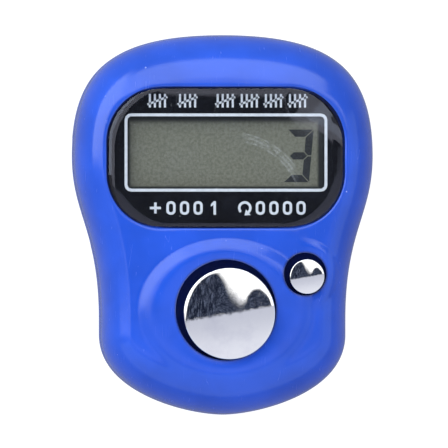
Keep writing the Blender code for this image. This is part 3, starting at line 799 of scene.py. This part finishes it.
def dome(node, top_radius):
    """A silicone dome: a foot on the board, a thin sloping skirt and a thick top, open underneath."""
    low, high = node_range(node, 2)
    left, right = node_range(node, 0)
    base = (right - left) / 2
    profile = [
        *arc((top_radius, high - 0.2), 0.2, 90.0, 20.0, 4),
        *arc((base - 0.7, low + 0.7), 0.18, 200.0, 270.0, 4),
        *arc((base - 0.15, low + 0.35), 0.15, 90.0, 0.0, 3),
        (base, low),
        (base - 1.25, low),
        (top_radius, DOME_CEILING),
    ]
    return turned(f"{node}_moulded", profile, node_centre(node), 64)


# ---- materials

# Places of a mix node's two colour inputs and its colour output
MIX_COLOURS = (6, 7)
MIX_RESULT = 2


class Number:
    """A number that a node gives out. Arithmetic with it adds more nodes."""

    def __init__(self, finish, socket):
        self.finish, self.socket = finish, socket

    def __add__(self, other):
        return self.finish.math("ADD", self, other)

    def __sub__(self, other):
        return self.finish.math("SUBTRACT", self, other)

    def __rsub__(self, other):
        return self.finish.math("SUBTRACT", other, self)

    def __mul__(self, other):
        return self.finish.math("MULTIPLY", self, other)

    def __abs__(self):
        return self.finish.math("ABSOLUTE", self)

    def over(self, *others):
        """The greatest of this and the others."""
        most = self
        for other in others:
            most = self.finish.math("MAXIMUM", most, other)
        return most


class Finish:
    """A material's node tree, in millimetres of the piece's own space."""

    def __init__(self, name):
        self.material = bpy.data.materials.new(name)
        self.material.use_nodes = True
        self.tree = self.material.node_tree
        self.tree.nodes.clear()
        place = self.add("ShaderNodeTexCoord").outputs["Object"]
        self.place = self.vector("SCALE", place, Scale=1.0 / MM)

    def add(self, kind, inputs=None, **settings):
        """Adds a node; an input is given as a value or as what feeds it."""
        node = self.tree.nodes.new(kind)
        for key, value in settings.items():
            setattr(node, key, value)
        for key, value in (inputs or {}).items():
            source = getattr(value, "socket", value)
            if isinstance(source, bpy.types.NodeSocket):
                self.tree.links.new(source, node.inputs[key])
            else:
                node.inputs[key].default_value = source
        return node

    def number(self, kind, inputs=None, output=0, **settings):
        return Number(self, self.add(kind, inputs, **settings).outputs[output])

    def math(self, operation, *values):
        return self.number("ShaderNodeMath", dict(enumerate(values)), operation=operation)

    def vector(self, operation, *values, **named):
        inputs = {**dict(enumerate(values)), **named}
        return self.add("ShaderNodeVectorMath", inputs, operation=operation).outputs[0]

    def distance(self, place, centre):
        inputs = {0: place, 1: centre}
        return self.number("ShaderNodeVectorMath", inputs, "Value", operation="DISTANCE")

    def axes(self, place):
        split = self.add("ShaderNodeSeparateXYZ", {0: place})
        return [Number(self, output) for output in split.outputs]

    def noise(self, scale, detail=2.0, roughness=0.5, place=None, distortion=0.0):
        inputs = {"Vector": place or self.place, "Scale": scale, "Detail": detail, "Roughness": roughness}
        inputs["Distortion"] = distortion
        return self.number("ShaderNodeTexNoise", inputs, "Fac")

    def stretched(self, scale, turn=0.0, place=None):
        """The piece's space, or another, turned about Z and then scaled."""
        inputs = {"Vector": place or self.place, "Rotation": (0.0, 0.0, math.radians(turn)), "Scale": scale}
        return self.add("ShaderNodeMapping", inputs).outputs[0]

    def ramp(self, value, start, end):
        """Rises smoothly from 0 to 1 between two values, or falls if the first is the greater."""
        inputs = {"Value": value, "From Min": start, "From Max": end}
        return self.number("ShaderNodeMapRange", inputs, interpolation_type="SMOOTHSTEP")

    def between(self, value, low, high):
        """A value from 0 to 1 set on a range."""
        return self.number("ShaderNodeMapRange", {"Value": value, "To Min": low, "To Max": high})

    def blend(self, share, first, second):
        """A colour between two."""
        inputs = {"Factor": share}
        for key, colour in zip(MIX_COLOURS, (first, second)):
            inputs[key] = (*colour, 1.0) if isinstance(colour, tuple) else colour
        return self.add("ShaderNodeMix", inputs, data_type="RGBA").outputs[MIX_RESULT]

    def curve(self, value, points, reach):
        """A value read off a curve through (x, y) points, both within a reach of 0."""
        share = self.number("ShaderNodeMapRange", {"Value": value, "From Min": -reach, "From Max": reach})
        node = self.add("ShaderNodeFloatCurve", {"Value": share})
        line = node.mapping.curves[0]
        ends = [((x + reach) / (2 * reach), y / reach) for x, y in points]
        line.points[0].location, line.points[1].location = ends[0], ends[-1]
        for at in ends[1:-1]:
            line.points.new(*at)
        node.mapping.update()
        return Number(self, node.outputs[0]) * reach

    def specks(self, scale, size, share):
        """Sparse small round spots: how big each is and the share of cells that has one."""
        cells = self.add("ShaderNodeTexVoronoi", {"Vector": self.place, "Scale": scale})
        chosen = self.add("ShaderNodeSeparateColor", {0: cells.outputs["Color"]})
        reach = Number(self, chosen.outputs[1]) * size
        spot = self.math("LESS_THAN", cells.outputs["Distance"], reach)
        return spot * self.math("LESS_THAN", chosen.outputs[0], share)

    def scratches(self, scale, width, turn, amount):
        """Long thin scuffs in one direction, broken up so that only some show."""
        place = self.stretched((scale, scale * 0.06, scale * 0.06), turn)
        lines = self.noise(1.0, 1.0, 0.4, place)
        thin = self.ramp(abs(lines - 0.5), width, 0.0)
        return thin * self.ramp(self.noise(0.5 * scale, 2.0), 0.68 - 0.1 * amount, 0.78 - 0.1 * amount)

    def bump(self, height, strength, distance, **normal):
        inputs = {"Height": height, "Strength": strength, "Distance": distance * MM, **normal}
        return self.add("ShaderNodeBump", inputs).outputs[0]

    def principled(self, tone, rough, **inputs):
        names = {key.replace("_", " ").title().replace("Ior", "IOR"): at for key, at in inputs.items()}
        names |= {"Base Color": tone, "Roughness": rough}
        return self.add("ShaderNodeBsdfPrincipled", names).outputs[0]

    def front(self):
        """1 on the side that faces out, 0 on the other."""
        return 1.0 - self.number("ShaderNodeNewGeometry", output="Backfacing")

    def pane(self, clear, gloss_inputs, ior):
        """Clear to what is behind it, and mirroring more the more it is seen edge on."""
        gloss = self.add("ShaderNodeBsdfGlossy", gloss_inputs)
        through = self.add("ShaderNodeBsdfTransparent", {"Color": (*clear, 1.0)})
        mirror = self.number("ShaderNodeFresnel", {"IOR": ior}) * self.front()
        return self.mix(mirror, through.outputs[0], gloss.outputs[0])

    def mix(self, share, first, second):
        return self.add("ShaderNodeMixShader", {0: share, 1: first, 2: second}).outputs[0]

    def done(self, shader):
        self.add("ShaderNodeOutputMaterial", {"Surface": shader})
        return self.material

    def surface(self, tone, rough, **inputs):
        """Finishes the material with one plain surface."""
        return self.done(self.principled(tone, rough, **inputs))


def scaled(colour, factor, lift=0.0):
    return tuple(channel * factor + lift for channel in colour)


def painted_crevice_shade(finish):
    """Painted shade on the front case: a dark ring round each button's hole, and a darkening down the wall
    round the window, where shade falls in these gaps.
    """
    flat = finish.vector("MULTIPLY", finish.place, (1.0, 1.0, 0.0))
    # Painted shade: a dark ring just outside each button's hole.
    dark = [
        finish.ramp(finish.distance(flat, (*centre, 0.0)), radius + 0.3, radius - 0.04)
        for radius, centre, _ in HOLES
    ]
    x, y, z = finish.axes(finish.place)
    spread_x, spread_y = (
        finish.math("POWER", abs((value - middle) * (2.0 / side)), 4.0)
        for value, middle, side in zip((x, y), WINDOW_CENTRE, WINDOW_SIZE)
    )
    # Painted shade down the window's wall, below the level of the face.
    wall = finish.ramp(spread_x + spread_y, 1.08, 1.0) * finish.ramp(z, 11.92, 11.7)
    return wall.over(*dark)


def moulded_plastic(name, colour, worn, paint_crevice_shade):
    """Satin blue plastic with a very fine texture, faint flow marks, dust and scuffs, and, when asked,
    painted shade round the button holes and the window.
    """
    finish = Finish(name)
    flow = finish.ramp(finish.noise(0.14, 3.0, 0.55), 0.3, 0.7)
    tone = finish.blend(flow, scaled(colour, 0.9), scaled(colour, 1.12, 0.004))
    dust = finish.specks(0.5, 0.06, 0.14 * worn).over(finish.specks(1.4, 0.07, 0.07 * worn))
    scuffs = finish.scratches(1.4, 0.006, 28.0, worn).over(finish.scratches(1.1, 0.006, -52.0, worn))
    tone = finish.blend(scuffs * 0.12, tone, (0.16, 0.28, 0.8))
    tone = finish.blend(dust * 0.7, tone, (0.45, 0.55, 0.9))
    if paint_crevice_shade:
        # Painted shade: a near-black blue in the gaps round the holes and down the window's wall.
        tone = finish.blend(painted_crevice_shade(finish) * 0.85, tone, (0.003, 0.006, 0.05))
    rough = finish.between(finish.noise(1.3, 3.0), 0.16, 0.22) + scuffs.over(dust) * 0.25
    waves = finish.bump(finish.noise(0.45, 2.0), 0.25, 0.03)
    normal = finish.bump(finish.noise(14.0, 2.0, 0.6), 0.12, 0.004, Normal=waves)
    return finish.surface(tone, rough, ior=1.57, normal=normal)


def chrome_plate(name):
    """Bright plating on a moulded cap: slightly wavy, with hairline swirls and a little haze."""
    finish = Finish(name)
    hair = finish.scratches(2.4, 0.012, 12.0, 1.2).over(finish.scratches(2.0, 0.012, 74.0, 1.2))
    haze = finish.ramp(finish.noise(0.5, 3.0), 0.45, 0.7)
    tone = finish.blend(haze, (0.93, 0.93, 0.94), (0.86, 0.86, 0.89))
    rough = haze * 0.03 + 0.03 + hair * 0.1
    orange_peel = finish.bump(finish.noise(1.4, 3.0, 0.6), 0.3, 0.004)
    normal = finish.bump(hair, 0.1, 0.002, Normal=orange_peel)
    return finish.surface(tone, rough, metallic=1.0, normal=normal)


def clear_window(name):
    """Polished clear acrylic: it shows what is behind it, and mirrors a little, with scratches."""
    finish = Finish(name)
    scuff_centre, scuff_radius = (0.45, 1.24, 11.5), 7.56
    off_arc = abs(finish.distance(finish.place, scuff_centre) - scuff_radius)
    x, _, _ = finish.axes(finish.place)
    lines = finish.ramp(off_arc, 0.3, 0.0).over(finish.ramp(abs(off_arc - 0.35), 0.2, 0.0))
    scuff = lines * (finish.ramp(x, 1.2, 2.6) * finish.ramp(x, 7.4, 6.4))
    scuff = scuff * finish.ramp(finish.noise(2.2, 3.0), 0.35, 0.6)
    hair = finish.scratches(1.3, 0.008, 63.0, 0.2).over(scuff * 0.9)
    dust = finish.specks(0.9, 0.08, 0.12).over(finish.specks(2.2, 0.12, 0.05))
    marks = (hair * 0.6).over(dust * 2.0)
    rough = finish.noise(0.8, 3.0) * 0.06 + 0.01
    waves = finish.bump(finish.noise(0.25, 1.0), 0.04, 0.01)
    gloss = {"Color": (0.78, 0.8, 1.0, 1.0), "Roughness": rough, "Normal": waves}
    pane = finish.pane((0.97, 0.98, 0.98), gloss, ior=1.62)
    haze = finish.principled((0.8, 0.82, 0.85, 1.0), 0.5)
    return finish.done(finish.mix(marks * (finish.front() * 0.22), pane, haze))


def printed_ink(name, colour, spots):
    """A coat with hardly any gloss, as ink under a window looks: slightly uneven, with pinholes."""
    finish = Finish(name)
    uneven = finish.ramp(finish.noise(2.2, 3.0), 0.35, 0.7)
    tone = finish.blend(uneven, colour, scaled(colour, 0.9, 0.004))
    tone = finish.blend(finish.specks(2.6, 0.09, 0.12), tone, spots)
    rough = finish.between(finish.noise(5.0, 2.0), 0.35, 0.5)
    normal = finish.bump(finish.noise(9.0, 2.0), 0.15, 0.004)
    return finish.surface(tone, rough, normal=normal, specular_ior_level=0.05)


def display_film(name):
    """The grey-green face of the display, with the mottle of its reflector showing through, and a painted
    shadow darkening its edges.
    """
    finish = Finish(name)
    mottle = finish.noise(3.4, 4.0, 0.7)
    tone = finish.blend(finish.ramp(mottle, 0.3, 0.7), (0.135, 0.13, 0.098), (0.215, 0.209, 0.164))
    tone = finish.blend(finish.specks(5.5, 0.2, 0.35) * 0.35, tone, (0.36, 0.365, 0.32))
    x, y, _ = finish.axes(finish.place)
    # Painted shadow: a dark band along the display's top, bottom and sides, standing for the shade cast by
    # the print and the seat above it.
    ends = finish.ramp(y, 9.95, 10.6).over(finish.ramp(y, 3.95, 3.7))
    border = ends.over(finish.ramp(abs(x + 0.08), 9.15, 9.55))
    tone = finish.blend(border, tone, (0.012, 0.013, 0.013))
    rough = finish.between(mottle, 0.3, 0.45)
    return finish.surface(tone, rough, normal=finish.bump(mottle, 0.2, 0.006))


def plain_solid(name, colours, roughness, grain):
    """A finish of two mixed tones with an even grain, at a scale in cells to the millimetre."""
    finish = Finish(name)
    pattern = finish.noise(grain, 4.0, 0.6)
    tone = finish.blend(finish.ramp(pattern, 0.35, 0.65), *colours)
    rough = finish.between(finish.noise(grain * 2.5, 2.0), *roughness)
    return finish.surface(tone, rough, normal=finish.bump(pattern, 0.3, 0.01))


def brushed_metal(name, colour, roughness):
    """Plated sheet, rolled in one direction."""
    finish = Finish(name)
    lines = finish.noise(1.0, 3.0, 0.6, finish.stretched((1.2, 16.0, 16.0), 8.0))
    tone = finish.blend(lines, colour, scaled(colour, 0.85))
    rough = finish.between(lines, roughness - 0.08, roughness + 0.08)
    return finish.surface(tone, rough, metallic=1.0, normal=finish.bump(lines, 0.25, 0.004))


def layered_rubber(name):
    """Black conducting layers between grey insulating ones, across the strip."""
    finish = Finish(name)
    inputs = {"Vector": finish.place, "Scale": 6.0, "Distortion": 0.3}
    bands = finish.number("ShaderNodeTexWave", inputs, "Fac", bands_direction="X")
    tone = finish.blend(finish.ramp(bands, 0.4, 0.6), (0.02, 0.02, 0.02), (0.22, 0.22, 0.21))
    return finish.surface(tone, 0.7, normal=finish.bump(bands, 0.2, 0.01))


def solder_mask(name):
    """Green board with raised copper runs under its coat."""
    finish = Finish(name)
    inputs = {"Vector": finish.place, "Scale": 0.8, "Mortar Size": 0.03, "Mortar Smooth": 0.2}
    runs = finish.number("ShaderNodeTexBrick", inputs, "Fac", offset=0.35)
    tone = finish.blend(runs * 0.6, (0.015, 0.1, 0.035), (0.05, 0.24, 0.08))
    rough = finish.between(finish.noise(3.0, 3.0), 0.25, 0.4)
    return finish.surface(tone, rough, normal=finish.bump(runs, 0.4, 0.03))


def display_glass(name):
    """Thin clear glass over the display's liquid."""
    finish = Finish(name)
    rough = finish.between(finish.noise(0.7, 3.0), 0.02, 0.08)
    return finish.done(finish.pane((0.8, 0.86, 0.8), {"Roughness": rough}, ior=1.52))


def silicone(name):
    """Milky silicone with a dusty, slightly waxy face."""
    finish = Finish(name)
    tone = finish.blend(finish.noise(0.9, 3.0), (0.62, 0.65, 0.64), (0.76, 0.78, 0.76))
    rough = finish.between(finish.noise(6.0, 2.0), 0.5, 0.7)
    normal = finish.bump(finish.noise(8.0, 2.0), 0.2, 0.01)
    return finish.surface(tone, rough, normal=normal, subsurface_weight=0.2, subsurface_scale=0.5 * MM)


def wear(piece, *materials):
    """Gives a piece its materials in place of any it has."""
    while len(piece.material_slots) < len(materials):
        piece.data.materials.append(None)
    for slot, material in zip(piece.material_slots, materials):
        slot.material = material


BLUE = (0.0095, 0.077, 0.58)
CASE_FINISH = moulded_plastic("blue_plastic", BLUE, 1.0, True)
BACK_FINISH = moulded_plastic("blue_plastic_back", BLUE, 0.9, False)
STEEL_FINISH = brushed_metal("nickel_plate", (0.62, 0.62, 0.63), 0.28)

# The finish of the CAD pieces that keep their own shape
FINISHES = (
    (display_glass("display_glass"), "lcd_front_glass lcd_rear_glass"),
    (plain_solid("carbon_rubber", ((0.008, 0.008, 0.009), (0.02, 0.02, 0.02)), (0.7, 0.9), 6.0),
     "count_carbon_pill reset_carbon_pill"),
    (plain_solid("ceramic", ((0.3, 0.2, 0.11), (0.42, 0.3, 0.18)), (0.4, 0.6), 5.0),
     "smd_capacitor smd_resistor"),
    (printed_ink("black_ink", (0.006, 0.006, 0.008), (0.03, 0.03, 0.035)), "window_print"),
    (plain_solid("tape", ((0.5, 0.48, 0.4), (0.66, 0.63, 0.55)), (0.5, 0.7), 3.0), "lens_adhesive"),
    (display_film("polariser"), "lcd_front_polariser"),
    (plain_solid("reflector", ((0.34, 0.36, 0.3), (0.46, 0.48, 0.42)), (0.4, 0.6), 7.0), "lcd_reflector"),
    (layered_rubber("layered_rubber"), "zebra_connector"),
    (solder_mask("solder_mask"), "circuit_board"),
    (plain_solid("epoxy", ((0.008, 0.008, 0.01), (0.018, 0.018, 0.02)), (0.15, 0.3), 1.2), "chip_blob"),
    (plain_solid("nylon", ((0.66, 0.69, 0.72), (0.8, 0.82, 0.84)), (0.4, 0.6), 2.0), "button_cell_gasket"),
    (brushed_metal("gold_flash", (0.83, 0.62, 0.28), 0.3),
     "count_contact_pad reset_contact_pad battery_contact_negative battery_contact_positive"),
    (STEEL_FINISH, "button_cell_can button_cell_cap board_screw_1 board_screw_2 board_screw_3 board_screw_4"),
)


# ---- assembly


def place(piece, body, slot, materials, *nodes):
    """Puts a piece on its body, with its finish, in place of the CAD nodes that it stands for."""
    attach(piece, body)
    if nodes:
        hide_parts(*nodes)
    wear(piece, *materials)


def assemble():
    for material, nodes in FINISHES:
        for node in nodes.split():
            wear(bpy.data.objects[node], material)
    place(front_case(), "case", "case_front", [CASE_FINISH], "front_case")
    place(back_case(), "case", "case_back", [BACK_FINISH], "back_case")
    place(lens(), "case", "lens", [clear_window("clear_acrylic")], "window_lens")
    white = printed_ink("white_ink", (0.74, 0.74, 0.79), (0.5, 0.5, 0.55))
    place(frame_line(), "case", "print", [white])
    place(printed_marks(), "case", "print", [white])
    dark = plain_solid("display_dark", ((0.008, 0.009, 0.011), (0.022, 0.024, 0.027)), (0.3, 0.4), 6.0)
    place(digit_segments(), "case", "display_film", [dark])
    for k, at in enumerate(CASE_SCREWS, 1):
        screw = cross_screw(f"case_screw_{k}_threaded", at)
        place(screw, "case", "screw_steel", [STEEL_FINISH], f"case_screw_{k}")

    chrome_and_shade = [
        chrome_plate("chrome_plate"),
        # Painted shade: a dark blue for the flange and the low side, where the gap round the key is in shade.
        printed_ink("flange_painted_shade", (0.003, 0.012, 0.11), (0.02, 0.04, 0.2)),
    ]
    count = button(
        "count_button", slack=(0.16, -0.2), radius=4.53, crown_radius=25.8, fillet=0.08,
        flange_radius=5.5, stem_radius=2.2, hollow=True, facets=128,
    )
    place(count, "count_key", "button_chrome", chrome_and_shade, "count_button")
    reset = button(
        "reset_button", slack=(0.07, -0.13), radius=1.71, crown_radius=9.7, fillet=0.05,
        flange_radius=2.55, stem_radius=1.1, hollow=False, facets=80,
    )
    place(reset, "reset_key", "button_chrome", chrome_and_shade, "reset_button")
    rubber = silicone("milky_silicone")
    for key, top_radius in (("count", 2.4), ("reset", 1.0)):
        node = f"{key}_dome"
        piece = dome(node, top_radius)
        place(piece, "case", "silicone", [rubber], node)
        low, high = node_range(node, 2)
        anchor = (*(at * MM for at in node_centre(node)), low * MM)
        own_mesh(piece)


assemble()


# ---- studio

FLOOR_HALF = 1500.0
FLOOR_Z = -0.02

# How bright the floor and the world are to the object, and to the camera
FLOOR_LIGHT = (0.14, 0.95)
WORLD_LIGHT = (0.42, 0.95)

CARD_HEIGHT = 450.0
CARD_CENTRE = (13.7, -12.9)
CARD_SCALE = 36.4
CARD_REACH = 225.0
PATCH_STEPS = 9

# Across the ceiling picture: how high the dark folds rise above the level, how far their edge wanders,
# and how soft it is
FOLDS = (
    (-4.8, 0.0), (-4.5, 0.5), (-3.9, 2.0), (-3.26, 3.4), (-2.43, 4.2), (-1.5, 4.4), (-0.5, 3.6),
    (0.0, 2.5), (0.6, 1.7), (1.6, 0.9), (2.1, 1.5), (2.8, 1.9), (3.8, 1.3), (4.5, 0.2),
)
WANDER = ((-4.6, 0.3), (-0.6, 0.3), (0.7, 2.0), (1.6, 1.2), (2.3, 0.4), (4.6, 0.4))
SOFTNESS = ((-4.6, 0.2), (-2.0, 0.2), (-1.0, 0.4), (0.2, 1.0), (1.2, 0.7), (2.2, 0.2), (4.6, 0.2))


def stage_sheet(name, shell, material):
    """A floor or a light card."""
    sheet = shell.build(name)
    sheet.data.materials.append(material)
    return sheet


def flat_sheet(name, outline, z, material):
    shell = Shell()
    shell.faces.append(shell.loop(outline, z))
    return stage_sheet(name, shell, material)


def floor():
    """A pale seamless floor, lit from below as on a light table."""
    corners = FLOOR_HALF * np.array([(-1.0, -1.0), (1.0, -1.0), (1.0, 1.0), (-1.0, 1.0)])
    finish = Finish("light_table")
    matt = finish.add("ShaderNodeBsdfDiffuse", {"Color": (0.2, 0.2, 0.21, 1.0)})
    seen = finish.add("ShaderNodeLightPath").outputs["Is Camera Ray"]
    lit = finish.add("ShaderNodeEmission", {"Strength": finish.between(seen, *FLOOR_LIGHT)})
    both = finish.add("ShaderNodeAddShader", {0: matt.outputs[0], 1: lit.outputs[0]})
    flat_sheet("floor", corners, FLOOR_Z, finish.done(both.outputs[0]))


def light_patch(name, azimuths, polars, radius, colour, strength):
    """A soft light shaped as a patch of a sphere round the object, from one direction range."""
    shell = Shell()
    rows = []
    across = directions(np.radians(np.linspace(*azimuths, PATCH_STEPS)))
    for polar in np.radians(np.linspace(*polars, PATCH_STEPS)):
        rows.append(shell.loop(across * radius * math.sin(polar), radius * math.cos(polar)))
    for first, second in zip(rows, rows[1:]):
        for k in range(PATCH_STEPS - 1):
            shell.faces.append([first[k], first[k + 1], second[k + 1], second[k]])
    finish = Finish(f"{name}_glow")
    light = finish.add("ShaderNodeEmission", {"Color": (*colour, 1.0), "Strength": strength})
    patch = stage_sheet(name, shell, finish.done(light.outputs[0]))
    patch.visible_camera = False


def ceiling_material():
    """What the buttons mirror: a bright wall above a level, a pale table below it, and dark folds between."""
    finish = Finish("ceiling_picture")
    offset = finish.vector("SUBTRACT", finish.place, (*CARD_CENTRE, 0.0))
    local = finish.vector("SCALE", offset, Scale=1.0 / CARD_SCALE)
    x, y, _ = finish.axes(local)
    above = y - (x * 0.17 + 0.05)
    ragged = (finish.noise(11.0, 4.0, 0.85, local) - 0.5) * finish.curve(x, WANDER, 5.0) * 2.4
    gap = finish.curve(x, FOLDS, 5.0) + ragged - above
    soft = finish.curve(x, SOFTNESS, 5.0).over(0.14)
    under = above + (finish.noise(1.6, 4.0, 0.8, local) - 0.5) * 0.7
    dark = finish.ramp(gap, soft * -1.0, soft) * finish.ramp(under, -0.22, 0.08)
    shaded = finish.ramp(finish.distance(local, (0.0, 0.65, 0.0)), 0.8, 1.2)
    curls = finish.noise(5.0, 3.0, 0.75, local, 2.2)
    drawn = finish.noise(1.0, 3.0, 0.7, finish.stretched((10.0, 1.3, 1.0), place=local))
    streaks = finish.blend(finish.ramp(x, -1.6, -0.6), drawn, curls)
    lit_folds = finish.ramp(streaks, 0.48, 0.64) * shaded
    cloth = finish.blend(lit_folds, (0.009, 0.013, 0.028), (0.15, 0.18, 0.27))
    uneven = finish.ramp(finish.noise(0.8, 3.0, 0.5, local), 0.3, 0.8)
    wall = finish.blend(uneven, (1.5, 1.5, 1.48), (1.2, 1.2, 1.2))
    table = finish.blend(finish.ramp(above, -4.5, 0.0), (0.82, 0.84, 0.93), (0.58, 0.6, 0.7))
    flecks = finish.ramp(finish.noise(22.0, 2.0, 0.6, local), 0.55, 0.75) * 0.25
    table = finish.blend(flecks, table, (0.3, 0.31, 0.36))
    tone = finish.blend(finish.ramp(above, -0.05, 0.05), table, wall)
    tone = finish.blend(dark, tone, cloth)
    return finish.done(finish.add("ShaderNodeEmission", {"Color": tone, "Strength": 1.0}).outputs[0])


def ceiling_card():
    """A lit picture over the object, seen only in reflections."""
    outline = circle(CARD_REACH, CARD_CENTRE, 64)
    card = flat_sheet("ceiling_card", outline, CARD_HEIGHT, ceiling_material())
    card.visible_camera = False
    card.visible_shadow = False


def studio():
    floor()
    cool = (0.91, 0.98, 1.0)
    softbox_away = 600.0
    light_patch("top_softbox", (61.0, 110.0), (20.0, 74.0), softbox_away, cool, 2.35)
    light_patch("corner_softbox", (15.0, 72.0), (25.5, 34.0), softbox_away, cool, 2.3)
    light_patch("left_softbox", (112.3, 180.5), (18.0, 84.0), softbox_away, cool, 2.95)
    light_patch("front_fill", (-160.0, 20.0), (35.0, 95.0), 800.0, (0.8, 0.95, 1.15), 0.95)
    ceiling_card()
    world = bpy.data.worlds.new("studio")
    bpy.context.scene.world = world
    world.use_nodes = True
    nodes, links = world.node_tree.nodes, world.node_tree.links
    fill = nodes["Background"]
    fill.inputs["Color"].default_value = (0.95, 0.96, 1.0, 1.0)
    strength = nodes.new("ShaderNodeMapRange")
    strength.inputs["To Min"].default_value, strength.inputs["To Max"].default_value = WORLD_LIGHT
    links.new(nodes.new("ShaderNodeLightPath").outputs["Is Camera Ray"], strength.inputs["Value"])
    links.new(strength.outputs[0], fill.inputs["Strength"])
    bpy.context.scene.view_settings.view_transform = "Standard"


def camera():
    """Straight down on the face, from a little to the left, through a long lens."""
    distance, view_height, lean = 900.0, 44.8, math.radians(2.5)
    target = Vector((0.08, 0.09, 6.0))
    data = bpy.data.cameras.new("camera")
    data.sensor_width = 36.0
    data.lens = data.sensor_width * distance / view_height
    data.clip_start, data.clip_end = 0.05, 10.0
    shown = bpy.data.objects.new("camera", data)
    shown.location = (target + Vector((-math.sin(lean), 0.0, math.cos(lean))) * distance) * MM
    shown.rotation_euler = (0.0, -lean, 0.0)
    bpy.context.scene.collection.objects.link(shown)
    bpy.context.scene.camera = shown


studio()
camera()

bpy.context.view_layer.update()
